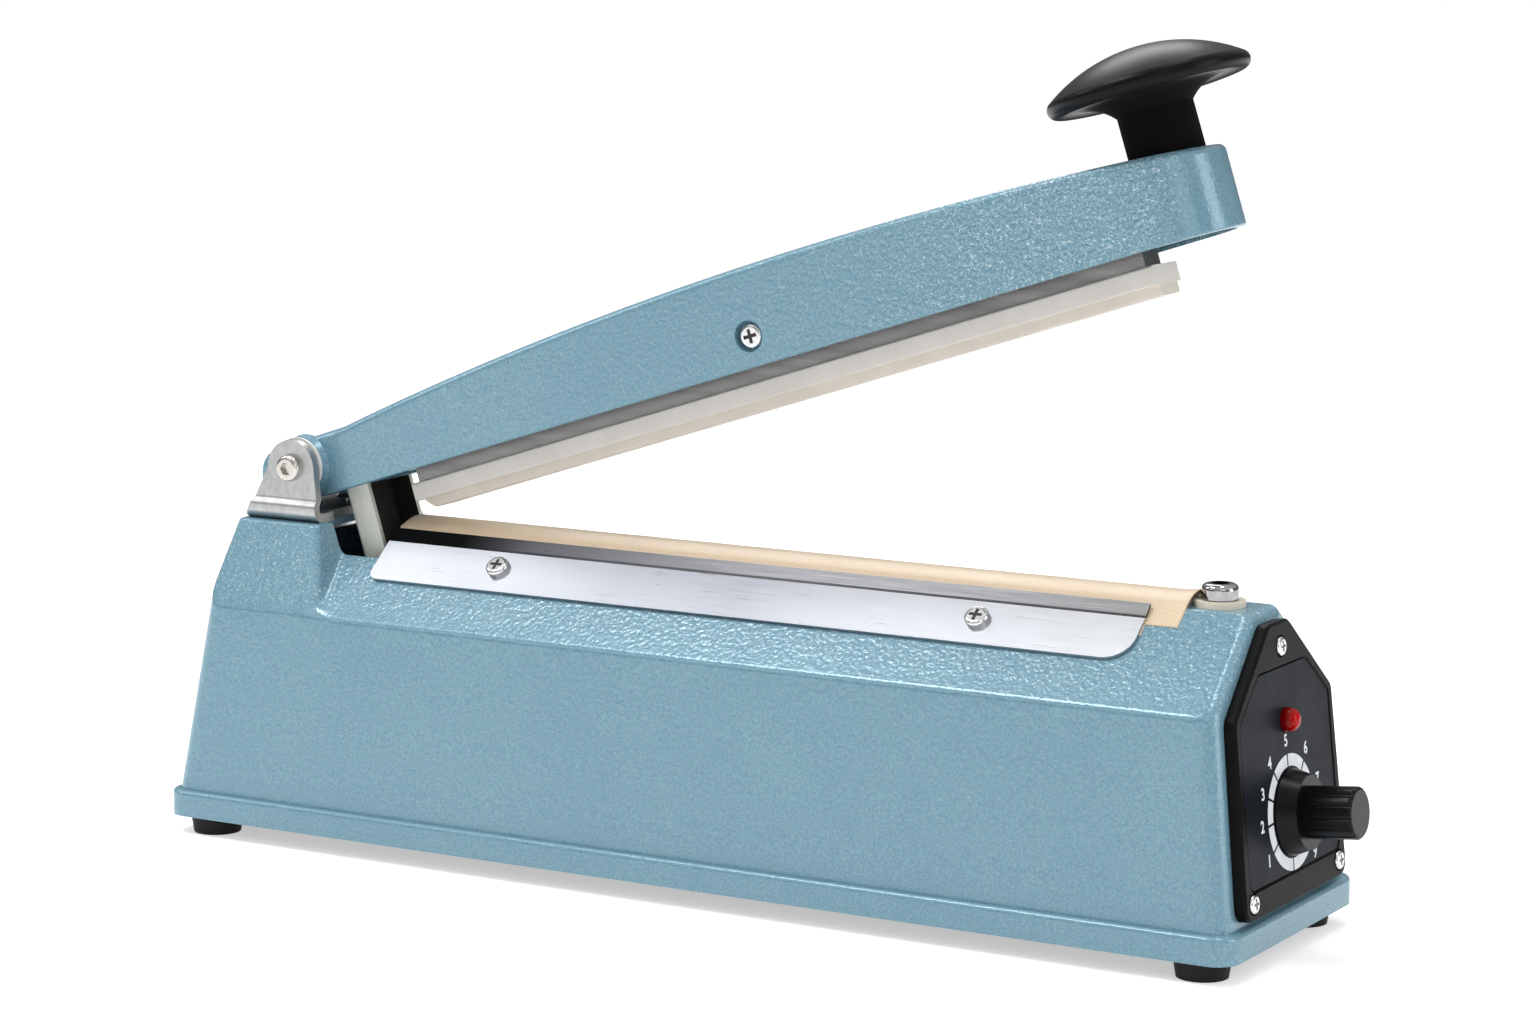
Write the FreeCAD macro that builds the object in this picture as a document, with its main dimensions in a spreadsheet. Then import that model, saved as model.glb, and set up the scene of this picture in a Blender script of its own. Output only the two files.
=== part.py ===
import FreeCAD, Part
import math
import os
import re
import Sketcher

# Hand impulse sealer, 300 mm seal length, in millimetres with +Z up.
# X runs along the base towards the timer panel, the front is at -Y, and Z is 0 under the feet.

doc = FreeCAD.newDocument("HandImpulseSealer")
sheet = doc.addObject("Spreadsheet::Sheet", "Sizes")

# The sizes that can be set, in millimetres, degrees or plain rates
sizes = {
    # Base casting
    "skirt_length": 400,
    "skirt_width": 99.4,
    "skirt_rise": 8.9,
    "skirt_corner": 8,
    "body_setback": 2,
    "right_setback": 3,
    "body_width": 93,
    "body_corner": 6.5,
    "shoulder_round": 3,
    "deck_round": 1.5,
    "deck_end_round": 4,
    "skirt_round": 1.6,
    "shoulder_width": 86.8,
    "shoulder_height": 81.5,
    "deck_width": 21.8,
    "deck_height": 108,
    "left_lean": 0.18,
    "right_lean": 0.1,
    "wall": 2.5,
    "tower_height": 110.4,
    "tower_width": 61,
    "tower_length": 52.5,
    "tower_lean": 0.33,
    # Feet and bottom cover
    "foot_height": 8,
    "foot_drop": 1.6,
    "foot_top": 18.2,
    "foot_bottom": 16.2,
    "foot_span_long": 372,
    "foot_span_cross": 76,
    "cover_thickness": 1.5,
    "cover_ledge": 2.7,
    "boss_height": 12,
    # Fits
    "fit_gap": 0.1,
    "free_gap": 0.3,
    # Screws
    "large_thread": 4,
    "large_head": 8,
    "large_head_height": 2.6,
    "small_thread": 3,
    "small_head": 6,
    "small_head_height": 1.9,
    # Hinge
    "hinge_reach": 39.3,
    "hinge_height": 128.7,
    "open_angle": 17.9,
    "bolt_size": 5,
    "bolt_head": 9.3,
    "bolt_head_height": 2.8,
    "bracket_sheet": 3,
    "bracket_width": 54,
    "bracket_bend": 4,
    "ear_radius": 9.5,
    "ear_base_left": 19.2,
    "ear_flare": 1.6,
    "ear_flare_low": 5.6,
    "ear_flare_high": 7.6,
    "ear_base_right": 11.4,
    "bracket_screw_spread": 20,
    # Slot for the lever
    "slot_from_hinge": 8.7,
    "slot_length": 25,
    "slot_width": 42.6,
    # Sealing deck
    "bar_width": 20,
    "bar_height": 3.2,
    "bar_edge": 1,
    "element_width": 3,
    "element_thickness": 0.3,
    "tape_thickness": 0.3,
    "tape_right": 166.2,
    "tape_flap_start": 155,
    "tape_reach": 27,
    "tape_flap_reach": 17.5,
    "strip_thickness": 1,
    "strip_left": 127.3,
    "strip_right": 155,
    "strip_top": 0.8,
    "strip_crease": 5.3,
    "strip_bottom": 23.4,
    "strip_lift": 0.7,
    "strip_screw_left": 78.8,
    "strip_screw_right": 100.5,
    "strip_screw_drop": 13.8,
    "terminal_place": 172.5,
    "bush_size": 16,
    "bush_thickness": 2,
    "terminal_head": 11.7,
    "terminal_head_height": 4.8,
    # Control panel on the right end
    "panel_thickness": 4,
    "panel_bottom": 18.8,
    "panel_shoulder": 79.9,
    "panel_top": 105,
    "panel_low_half": 39,
    "panel_mid_half": 37,
    "panel_top_half": 7.7,
    "panel_corner": 5,
    "panel_bevel": 0.8,
    "panel_sink": 1,
    "label_bottom": 27.9,
    "label_shoulder": 78,
    "label_top": 90.9,
    "label_low_half": 34,
    "label_mid_half": 33.4,
    "label_top_half": 17.7,
    "label_corner": 3,
    "label_depth": 1,
    "label_thickness": 0.7,
    "dial_height": 46,
    "led_height": 74.7,
    "led_size": 7.6,
    "panel_screw_low": 24.2,
    "panel_screw_high": 97.4,
    "panel_screw_spread": 66,
    "knob_skirt": 27,
    "knob_skirt_top": 23,
    "knob_skirt_height": 6,
    "knob_grip": 16.4,
    "knob_reach": 22.1,
    "knob_flutes": 14,
    "shaft_size": 6,
    "pot_size": 17,
    "pot_depth": 8,
    "bush_thread": 7,
    "board_thickness": 1.6,
    # Arm, measured along and above the line from the hinge axis
    "arm_wall": 3,
    "arm_half": 20,
    "arm_root_half": 18,
    "root_end": 4,
    "flank_start": 120,
    "arm_under": 12,
    "arm_rim_round": 0.8,
    "crown_round": 2.5,
    "root_join": 18,
    "nose_place": 333.6,
    "nose_radius": 17.4,
    "tail_radius": 9.5,
    "tail_place": 11.5,
    "tail_rise": 1,
    "hinge_boss": 8.5,
    "hinge_boss_half": 22.3,
    "washer_thickness": 0.8,
    "crown_place": 190,
    "crown_top": 20.2,
    "crown_end": 15.6,
    "nose_top": 13.8,
    "arm_root_top": 8.8,
    "pivot_place": 185,
    "pivot_drop": 2,
    "pivot_head": 8.6,
    "pivot_recess": 10.2,
    "pivot_boss": 14,
    # Lever under the arm
    "lever_start": 9.4,
    "lever_depth": 9.8,
    "lever_width": 26.2,
    "lever_sheet": 1.8,
    "lever_length": 60,
    "lever_top": 4.2,
    "rivet_reach": 5,
    # Press bar
    "rail_width": 11,
    "rail_top": 7,
    "rail_bottom": 16.2,
    "rail_start": 35,
    "rail_end": 319.3,
    "holder_width": 18,
    "holder_height": 6.2,
    "holder_start": 34,
    "holder_end": 322.8,
    "rubber_width": 12.3,
    "rubber_height": 3.5,
    "rubber_start": 36,
    "rubber_bevel": 3.2,
    "lug_length": 16,
    # Handle
    "handle_stem": 24,
    "handle_foot": 13.6,
    "handle_size": 64,
    "handle_rim_height": 20.5,
    "handle_height": 32.4,
    "handle_seat": 16.9,
    "handle_stud_size": 6,
    # Microswitch, spring and wiring blocks inside the base
    "switch_length": 27,
    "switch_width": 10,
    "switch_bottom": 64,
    "switch_height": 16,
    "button_height": 73,
    "button_size": 4,
    "button_reach": 2.9,
    "button_travel": 1.2,
    "switch_sheet": 1.5,
    "spring_size": 8,
    "spring_wire": 1.2,
    "anchor_place": 62,
    "core_length": 76,
    "core_height": 63,
    "core_stack": 38,
    "core_place": 84,
    "coil_overhang": 11,
    "grommet_size": 12,
    "grommet_height": 32,
}

# Formulas on the sizes above
derived = {
    "left_end": "=-skirt_length / 2",
    "right_end": "=skirt_length / 2",
    "skirt_top": "=foot_height + skirt_rise",
    "foot_seat": "=foot_height * 0.6",
    "slope_rate": "=2 * (deck_height - shoulder_height) / (shoulder_width - deck_width)",
    "slope_long": "=sqrt(1 + slope_rate * slope_rate)",
    "wall_lean": "=(body_width - shoulder_width) / (2 * (shoulder_height - skirt_top))",
    "body_foot": "=body_width / 2 + wall_lean * skirt_rise",
    "deck_half": "=deck_width / 2",
    "tower_right": "=left_end + tower_length",
    "hinge_axis": "=left_end + hinge_reach",
    "slot_left": "=hinge_axis + slot_from_hinge",
    "slot_right": "=slot_left + slot_length",
    "roof_under": "=tower_height - wall",
    "deck_under": "=deck_height - wall",
    "cover_top": "=foot_height + cover_thickness",
    "right_long": "=sqrt(1 + right_lean * right_lean)",
    "left_foot": "=left_end + body_setback - left_lean * skirt_top",
    "end_inner": "=-wall / right_long",
    "end_foot": "=right_end - right_setback + right_lean * skirt_top",
    "knob_tip": "=panel_thickness + free_gap + knob_reach",
    "frame_right": "=end_foot + (knob_tip - right_lean * (dial_height - knob_grip / 2)) / right_long",
    "frame_shift": "=(left_end + frame_right) / 2",
    "bar_top": "=deck_height + bar_height",
    "element_top": "=bar_top + element_thickness",
    "tape_under": "=element_top + fit_gap",
    "bar_right": "=terminal_place - bush_size / 2 - free_gap",
    "bush_top": "=deck_height + bush_thickness",
    "ear_inner": "=bracket_width / 2 - bracket_sheet",
    "plate_top": "=tower_height + bracket_sheet",
    "rubber_bottom": "=rail_bottom + holder_height + rubber_height",
    "lever_back": "=lever_start + lever_depth",
    "cross_wall": "=lever_back + 2 * free_gap + arm_wall",
    "lever_web": "=lever_start + lever_sheet",
    "nose_start": "=nose_place + nose_radius - arm_half",
    "flank_gain": "=arm_half - arm_root_half",
    "flank_run": "=flank_start - root_end",
    "flank_arc": "=(flank_run * flank_run + flank_gain * flank_gain) / (2 * flank_gain)",
    "flank_bow": "=flank_arc - sqrt(flank_arc * flank_arc - flank_run * flank_run / 4)",
    "tape_top": "=tape_under + tape_thickness",
    "closed_rise": "=tape_top + free_gap - hinge_height + rubber_bottom - pivot_drop",
    "pivot_reach": "=sqrt(pivot_place * pivot_place + pivot_drop * pivot_drop)",
    "closed_angle": "=asin(closed_rise / pivot_reach) + atan(pivot_drop / pivot_place)",
    "lever_closed": "=hinge_axis + lever_start / cos(closed_angle)",
    "switch_face": "=lever_closed + tan(closed_angle) * (hinge_height - button_height) - free_gap + button_travel - button_reach",
    "switch_back": "=switch_face - switch_length",
    "foot_boss": "=(body_width - foot_span_cross) / 2 - wall / 2",
}

aliases = list(sizes) + list(derived)
for row, (alias, content) in enumerate({**sizes, **derived}.items(), 1):
    sheet.set("A%d" % row, alias.replace("_", " "))
    sheet.set("B%d" % row, str(content))
    sheet.setAlias("B%d" % row, alias)
doc.recompute()


def number(expression):
    """The present value of an expression on named sizes."""
    result = sheet.evalExpression(str(expression))
    return float(getattr(result, "Value", result))


def bind(thing, path, expression):
    """Bind a property to the sheet, so that it follows the named sizes."""
    text = re.sub(r"[a-z_]+", lambda word: "Sizes." + word.group() if word.group() in aliases
                  else word.group(), str(expression))
    thing.setExpression(path, text)


# Sketches

def tangentPoints(before, corner, after, radius):
    """Where a rounded corner leaves its two lines, and a point in the middle of its arc."""
    back = (before - corner).normalize()
    ahead = (after - corner).normalize()
    half = math.acos(max(-1, min(1, back.dot(ahead)))) / 2
    reach = radius / math.tan(half)
    middle = (back + ahead).normalize()
    centre = corner + middle * (radius / math.sin(half))
    return corner + back * reach, centre - middle * radius, corner + ahead * reach


def pin(sketch, shape, end, x, y):
    """Hold one point of a sketch at two bound coordinates."""
    for kind, value in (("DistanceX", x), ("DistanceY", y)):
        index = sketch.addConstraint(Sketcher.Constraint(kind, shape, end, number(value)))
        bind(sketch, "Constraints[%d]" % index, value)


def endAt(sketch, shape, spot):
    """Which end of a sketch curve lies at a point."""
    near = min((1, 2), key=lambda end: (sketch.getPoint(shape, end) - spot).Length)
    return near


def outline(sketch, corners):
    """Draw one closed outline.

    A corner is (x, y), or (x, y, radius) where it is rounded, or (x, y, viaX, viaY) where the
    outline reaches it by an arc through the via point."""
    spots = [FreeCAD.Vector(number(corner[0]), number(corner[1]), 0) for corner in corners]
    count = len(corners)
    leave = list(spots)
    reach = list(spots)
    arcs = {}
    for index, corner in enumerate(corners):
        if len(corner) == 3 and number(corner[2]) > 0:
            ahead = spots[(index + 1) % count]
            points = tangentPoints(spots[index - 1], spots[index], ahead, number(corner[2]))
            reach[index], arcs[index], leave[index] = points
    edges = []
    for index, corner in enumerate(corners):
        start = leave[index - 1]
        if len(corner) == 4:
            via = FreeCAD.Vector(number(corner[2]), number(corner[3]), 0)
            edges.append(sketch.addGeometry(Part.Arc(start, via, reach[index]), False))
            point = sketch.addGeometry(Part.Point(via), True)
            pin(sketch, point, 1, corner[2], corner[3])
            sketch.addConstraint(Sketcher.Constraint("PointOnObject", point, 1, edges[-1]))
        else:
            edges.append(sketch.addGeometry(Part.LineSegment(start, reach[index]), False))
    for index, corner in enumerate(corners):
        edge = edges[index]
        following = edges[(index + 1) % count]
        if index in arcs:
            arc = sketch.addGeometry(Part.Arc(reach[index], arcs[index], leave[index]), False)
            point = sketch.addGeometry(Part.Point(spots[index]), True)
            pin(sketch, point, 1, corner[0], corner[1])
            for line, spot in ((edge, reach[index]), (following, leave[index])):
                sketch.addConstraint(Sketcher.Constraint("PointOnObject", point, 1, line))
                ends = (line, endAt(sketch, line, spot), arc, endAt(sketch, arc, spot))
                sketch.addConstraint(Sketcher.Constraint("Tangent", *ends))
            held = sketch.addConstraint(Sketcher.Constraint("Radius", arc, number(corner[2])))
            bind(sketch, "Constraints[%d]" % held, corner[2])
        else:
            end = endAt(sketch, edge, spots[index])
            start = endAt(sketch, following, spots[index])
            sketch.addConstraint(Sketcher.Constraint("Coincident", edge, end, following, start))
            pin(sketch, edge, end, corner[0], corner[1])


def circle(sketch, x, y, diameter):
    """Draw one circle with a bound centre and diameter."""
    centre = FreeCAD.Vector(number(x), number(y), 0)
    shape = Part.Circle(centre, FreeCAD.Vector(0, 0, 1), number(diameter) / 2)
    index = sketch.addGeometry(shape, False)
    pin(sketch, index, 3, x, y)
    held = sketch.addConstraint(Sketcher.Constraint("Diameter", index, number(diameter)))
    bind(sketch, "Constraints[%d]" % held, diameter)


def newSketch(body, plane, lift, outlines=(), circles=()):
    """A sketch on one of the body's origin planes, moved along its normal by lift."""
    sketch = body.newObject("Sketcher::SketchObject", body.Name + "Sketch")
    face = next(item for item in body.Origin.OriginFeatures if item.Role == plane + "_Plane")
    sketch.AttachmentSupport = [(face, "")]
    sketch.MapMode = "FlatFace"
    bind(sketch, "AttachmentOffset.Base.z", lift)
    for corners in outlines:
        outline(sketch, corners)
    for spot in circles:
        circle(sketch, *spot)
    return sketch


def rectangle(left, right, low, high, radius=0):
    """The corners of a rectangle, rounded where a radius is given."""
    corners = ((left, low), (right, low), (right, high), (left, high))
    return [corner + (radius,) if radius else corner for corner in corners]


# Features

def newBody(name):
    """A body that may hold several separate solids, as a set of screws does."""
    body = doc.addObject("PartDesign::Body", name)
    body.AllowCompound = True
    return body


def pad(body, sketch, length, centred=False, back=False):
    feature = body.newObject("PartDesign::Pad", body.Name + "Pad")
    feature.Profile = sketch
    bind(feature, "Length", length)
    feature.Midplane = centred
    feature.Reversed = back
    return feature


def pocket(body, sketch, length, centred=False, back=False):
    """Cut a sketch out of the body, and make sure that the cut took something away."""
    doc.recompute()
    before = body.Shape.Volume
    feature = body.newObject("PartDesign::Pocket", body.Name + "Pocket")
    feature.Profile = sketch
    bind(feature, "Length", length)
    feature.Midplane = centred
    feature.Reversed = back
    doc.recompute()
    if not feature.Shape.Volume < before - 1e-6:
        raise RuntimeError("nothing was cut from " + body.Name)
    return feature


def edgesOf(shape, test):
    """The names of the edges whose middle point and length pass a test."""
    names = []
    for index, edge in enumerate(shape.Edges):
        middle = edge.valueAt((edge.FirstParameter + edge.LastParameter) / 2)
        if test(edge, middle):
            names.append("Edge%d" % (index + 1))
    return names


def roundEdges(body, radius, test, kind="Fillet"):
    """Round or bevel the edges of a body that pass a test."""
    doc.recompute()
    base = body.Tip
    names = edgesOf(base.Shape, test)
    if not names:
        raise RuntimeError("no edge to round on " + body.Name)
    feature = body.newObject("PartDesign::" + kind, body.Name + kind)
    feature.Base = (base, names)
    bind(feature, "Radius" if kind == "Fillet" else "Size", radius)
    return feature


def block(name, plane, length, outlines=(), circles=(), lift="0", centred=False):
    """A body with one sketch padded along the plane's normal."""
    body = newBody(name)
    pad(body, newSketch(body, plane, lift, outlines, circles), length, centred)
    return body


def turned(name, corners, along, lift="0"):
    """A body turned about an upright line of the XZ plane that stands at along."""
    body = newBody(name)
    sketch = newSketch(body, "XZ", lift, [corners])
    ends = [FreeCAD.Vector(number(along), height, 0) for height in (0, 10)]
    line = sketch.addGeometry(Part.LineSegment(*ends), True)
    pin(sketch, line, 1, along, "0")
    pin(sketch, line, 2, along, "10")
    feature = body.newObject("PartDesign::Revolution", name + "Turn")
    feature.Profile = sketch
    feature.ReferenceAxis = (sketch, ["Axis0"])
    feature.Angle = 360
    return body


def loft(body, low, high):
    """Join two sketches of a body with straight sides."""
    feature = body.newObject("PartDesign::AdditiveLoft", body.Name + "Loft")
    feature.Profile = low
    feature.Sections = [high]
    feature.Ruled = True
    return feature


def cut(name, whole, *tools):
    """Take tools away from a solid."""
    feature = doc.addObject("Part::Cut", name)
    feature.Base = whole
    feature.Tool = tools[0] if len(tools) == 1 else fuse(name + "Tools", *tools)
    return feature


def fuse(name, *pieces):
    feature = doc.addObject("Part::MultiFuse", name)
    feature.Shapes = list(pieces)
    feature.Refine = True
    return feature


def common(name, *pieces):
    feature = doc.addObject("Part::MultiCommon", name)
    feature.Shapes = list(pieces)
    return feature


def place(thing, x="0", y="0", z="0", axis=None, angle="0"):
    """Bind where a piece stands, and how far it is turned about an axis."""
    if axis:
        start = FreeCAD.Rotation(FreeCAD.Vector(*axis), number(angle))
        thing.Placement = FreeCAD.Placement(FreeCAD.Vector(), start)
        bind(thing, "Placement.Rotation.Angle", angle)
    bind(thing, "Placement.Base.x", x)
    bind(thing, "Placement.Base.y", y)
    bind(thing, "Placement.Base.z", z)


nodes = []


def node(label, thing, where="base"):
    """Name a finished piece, and stand it where its group of pieces is."""
    thing.Label = label
    if where == "base":
        place(thing, "-frame_shift", "0", "-foot_drop")
    elif where == "left":
        place(thing, "left_foot - frame_shift", "0", "-foot_drop", (0, 1, 0), "atan(left_lean)")
    elif where == "panel":
        place(thing, "end_foot - frame_shift", "0", "-foot_drop", (0, 1, 0), "-atan(right_lean)")
    elif where == "front":
        place(thing, "-frame_shift", "-deck_half", "deck_height - foot_drop", (1, 0, 0), "atan(slope_rate)")
    elif where == "rear":
        place(thing, "-frame_shift", "deck_half", "deck_height - foot_drop", (1, 0, 0), "-atan(slope_rate)")
    elif where == "arm":
        place(thing, "hinge_axis - frame_shift", "0", "hinge_height - foot_drop", (0, 1, 0), "-open_angle")
    nodes.append(thing)


def screws(label, plane, spots, seat, head, headHeight, thread, length, where, drive="cross",
           back=False):
    """A set of separate round-headed screws whose heads stand on the plane's normal side."""
    body = newBody(label.title().replace("_", ""))
    heads = newSketch(body, plane, seat, circles=[(x, y, head) for x, y in spots])
    pad(body, heads, headHeight, back=back)
    sign = "-" if back else "+"
    top = "%s %s (%s)" % (seat, sign, headHeight)
    if drive == "cross":
        slots = []
        for x, y in spots:
            arm = "%s * 0.28" % head
            thin = "%s * 0.07" % head
            slots.append([("%s - %s" % (x, arm), "%s - %s" % (y, thin)),
                          ("%s - %s" % (x, thin), "%s - %s" % (y, thin)),
                          ("%s - %s" % (x, thin), "%s - %s" % (y, arm)),
                          ("%s + %s" % (x, thin), "%s - %s" % (y, arm)),
                          ("%s + %s" % (x, thin), "%s - %s" % (y, thin)),
                          ("%s + %s" % (x, arm), "%s - %s" % (y, thin)),
                          ("%s + %s" % (x, arm), "%s + %s" % (y, thin)),
                          ("%s + %s" % (x, thin), "%s + %s" % (y, thin)),
                          ("%s + %s" % (x, thin), "%s + %s" % (y, arm)),
                          ("%s - %s" % (x, thin), "%s + %s" % (y, arm)),
                          ("%s - %s" % (x, thin), "%s + %s" % (y, thin)),
                          ("%s - %s" % (x, arm), "%s + %s" % (y, thin))])
        recess = newSketch(body, plane, top, slots)
    elif drive == "hex":
        recess = newSketch(body, plane, top, [hexagon(x, y, "%s * 0.45" % head) for x, y in spots])
    if drive != "plain":
        pocket(body, recess, "%s * 0.55" % headHeight, back=back)
    shanks = newSketch(body, plane, seat, circles=[(x, y, thread) for x, y in spots])
    pad(body, shanks, length, back=not back)
    level = number(top)
    radius = number(head) / 2
    axis = {"XY": "z", "XZ": "y", "YZ": "x"}[plane]
    facing = -1 if plane == "XZ" else 1

    def outerRim(edge, middle):
        flat = abs(getattr(middle, axis) * facing - level) < 1e-3
        return flat and isinstance(edge.Curve, Part.Circle) and abs(edge.Curve.Radius - radius) < 1e-3
    roundEdges(body, "%s * 0.16" % head, outerRim, "Chamfer" if drive == "plain" else "Fillet")
    node(label, body, where)
    return body


def hexagon(x, y, across):
    """The six corners of a hexagon, given its size across flats."""
    corners = []
    for step in range(6):
        turn = 60 * step
        corners.append(("%s + %s / sqrt(3) * cos(%d)" % (x, across, turn),
                        "%s + %s / sqrt(3) * sin(%d)" % (y, across, turn)))
    return corners


def hexNut(label, plane, spots, seat, across, bore, height, where, back=False):
    """A set of hexagonal nuts standing on a seat."""
    body = newBody(label.title().replace("_", ""))
    sketch = newSketch(body, plane, seat, [hexagon(x, y, across) for x, y in spots],
                       [(x, y, bore) for x, y in spots])
    pad(body, sketch, height, back=back)
    node(label, body, where)


# Base casting

def leftAt(z):
    return "(left_end + body_setback + left_lean * (%s - skirt_top))" % z


def rightAt(z):
    return "(right_end - right_setback - right_lean * (%s - skirt_top))" % z


def castingForm(name, inset):
    """The leaning walls, the sloping roof and the tower, moved inwards by inset."""
    rim = "shoulder_height - %s * (slope_long - slope_rate)" % inset
    deck = "deck_height - %s" % inset
    roof = "tower_height - %s" % inset
    foot = ("(body_foot - %s)" % inset, "foot_height")
    shoulder = ("(shoulder_width / 2 - %s)" % inset, rim)
    ridge = ("(deck_half - %s * (slope_long - 1) / slope_rate)" % inset, deck)
    eave = ("(tower_width / 2 - %s)" % inset, roof)
    left = [(leftAt(z) + " + " + inset, z) for z in (deck, "foot_height")]
    right = [(rightAt(z) + " - " + inset, z) for z in ("foot_height", deck)]
    back = [(leftAt(z) + " + " + inset, z) for z in (roof, "foot_height")]
    ahead = [("tower_right + tower_lean * (tower_height - foot_height) - " + inset, "foot_height"),
             ("tower_right - " + inset, roof)]
    forms = []
    for piece, half, side in (("Body", (foot, shoulder, ridge), left + right),
                              ("Tower", (foot, shoulder, eave), back + ahead)):
        section = list(half) + [("-" + y, z) for y, z in reversed(half)]
        along = block(name + piece + "Section", "YZ", "skirt_length", [section], centred=True)
        across = block(name + piece + "Side", "XZ", "skirt_width", [side], centred=True)
        forms.append(common(name + piece, along, across))
    return fuse(name, *forms)


def rounded(name, whole, radiusOf):
    """Round the edges of a solid, each by the size that radiusOf names for its middle."""
    doc.recompute()
    feature = doc.addObject("Part::Fillet", name)
    feature.Base = whole
    chosen = []
    for index, edge in enumerate(whole.Shape.Edges):
        middle = edge.valueAt((edge.FirstParameter + edge.LastParameter) / 2)
        radius = radiusOf(middle, edge)
        if radius:
            chosen.append((index + 1, number(radius), number(radius)))
    feature.Edges = chosen
    doc.recompute()
    if feature.Shape.isNull() or not feature.Shape.isValid():
        raise RuntimeError("the rounding failed: " + name)
    return feature


def castingRound(middle, edge):
    """How far the casting's edges are rounded: corners, shoulders and tower, deck and roof."""
    if middle.z < number("skirt_top"):
        return None
    if abs(middle.y) > number("shoulder_width / 2 + 1") and middle.z < number("shoulder_height - 9"):
        return "body_corner"
    level = abs(middle.z - number("deck_height")) < 0.1
    if level and middle.x < number("tower_right + 5"):
        return None
    if middle.x > number("right_end - 25"):
        return "deck_end_round"
    valley = middle.x > number("tower_right + 1") and middle.x < number("tower_right + 15")
    if abs(middle.z - number("tower_height")) < 0.1 or level:
        return "deck_round"
    if valley and not abs(middle.x - cornerX) < 0.5:
        return None
    return "shoulder_round"


cornerX = number("tower_right + tower_lean * (tower_height - shoulder_height) / 2")
sharp = castingForm("CastingForm", "0")
skirt = block("Skirt", "XY", "skirt_rise", [rectangle(
    "left_end", "right_end", "-skirt_width / 2", "skirt_width / 2", "skirt_corner")],
    lift="foot_height")
skirtLevel = number("skirt_top")
roundEdges(skirt, "skirt_round", lambda edge, middle: abs(middle.z - skirtLevel) < 1e-3)
shell = fuse("HousingShell", skirt, rounded("CastingRounded", sharp, castingRound))
hollowSide = number("shoulder_width / 2 - wall + 0.8")
hollow = rounded("HollowRounded", castingForm("HollowForm", "wall"), lambda middle, edge: (
    "body_corner - wall" if abs(middle.y) > hollowSide and middle.z > skirtLevel
    and middle.z < number("shoulder_height - 9") else None))
slot = block("LeverSlot", "XY", "tower_height", [rectangle(
    "slot_left", "slot_right", "-slot_width / 2", "slot_width / 2", 2)], lift="shoulder_height")
rebate = block("CoverRebate", "XY", "cover_thickness", [rectangle(
    "left_end + cover_ledge", "right_end - cover_ledge", "-skirt_width / 2 + cover_ledge",
    "skirt_width / 2 - cover_ledge", "skirt_corner - cover_ledge")], lift="foot_height")
footSpots = [(sideX + "foot_span_long / 2", sideY + "foot_span_cross / 2")
             for sideX in ("-", "") for sideY in ("-", "")]
footBosses = block("FootBosses", "XY", "boss_height",
                   circles=[(x, y, "foot_boss * 2") for x, y in footSpots], lift="cover_top")
footBores = block("FootBores", "XY", "boss_height",
                  circles=[(x, y, "large_thread + 2 * fit_gap") for x, y in footSpots],
                  lift="cover_top")
roofSpots = [("hinge_axis - 3", "-bracket_screw_spread / 2"),
             ("hinge_axis - 3", "bracket_screw_spread / 2")]
roofBores = block("RoofBores", "XY", "wall * 2",
                  circles=[(x, y, "large_thread + 2 * fit_gap") for x, y in roofSpots],
                  lift="roof_under - wall / 2")
terminalBore = block("TerminalBore", "XY", "wall * 2",
                     circles=[("terminal_place", "0", "large_thread + 4")],
                     lift="deck_under - wall / 2")
stripSpots = ("-strip_screw_left", "strip_screw_right")
slopeBores = []
for name, side, angle in (("Front", "-", "atan(slope_rate)"), ("Rear", "", "-atan(slope_rate)")):
    bores = block(name + "StripBores", "XY", "wall * 4", centred=True,
                  circles=[(x, side + "strip_screw_drop", "large_thread + 2 * fit_gap")
                           for x in stripSpots])
    place(bores, "0", side + "deck_half", "deck_height", (1, 0, 0), angle)
    slopeBores.append(bores)
endSpots = [("-panel_screw_spread / 2", "panel_screw_low"), ("0", "panel_screw_high"),
            ("panel_screw_spread / 2", "panel_screw_low")]
endBores = block("EndBores", "YZ", "wall * 4", centred=True,
                 circles=[(x, y, "small_thread + 2 * fit_gap") for x, y in endSpots] + [
                     ("0", "dial_height", "bush_thread + 2 * fit_gap"),
                     ("0", "led_height", "led_size + 2 * fit_gap")])
place(endBores, "end_foot", "0", "0", (0, 1, 0), "-atan(right_lean)")
grommetBore = block("GrommetBore", "YZ", "wall * 6", centred=True,
                    circles=[("0", "grommet_height", "grommet_size")])
place(grommetBore, "left_foot", "0", "0", (0, 1, 0), "atan(left_lean)")
housing = fuse("Housing", cut("HousingCut", shell, hollow, slot, rebate, roofBores, terminalBore,
                              endBores, grommetBore, *slopeBores),
               cut("FootPillars", footBosses, footBores))
node("base_housing", housing)

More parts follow.
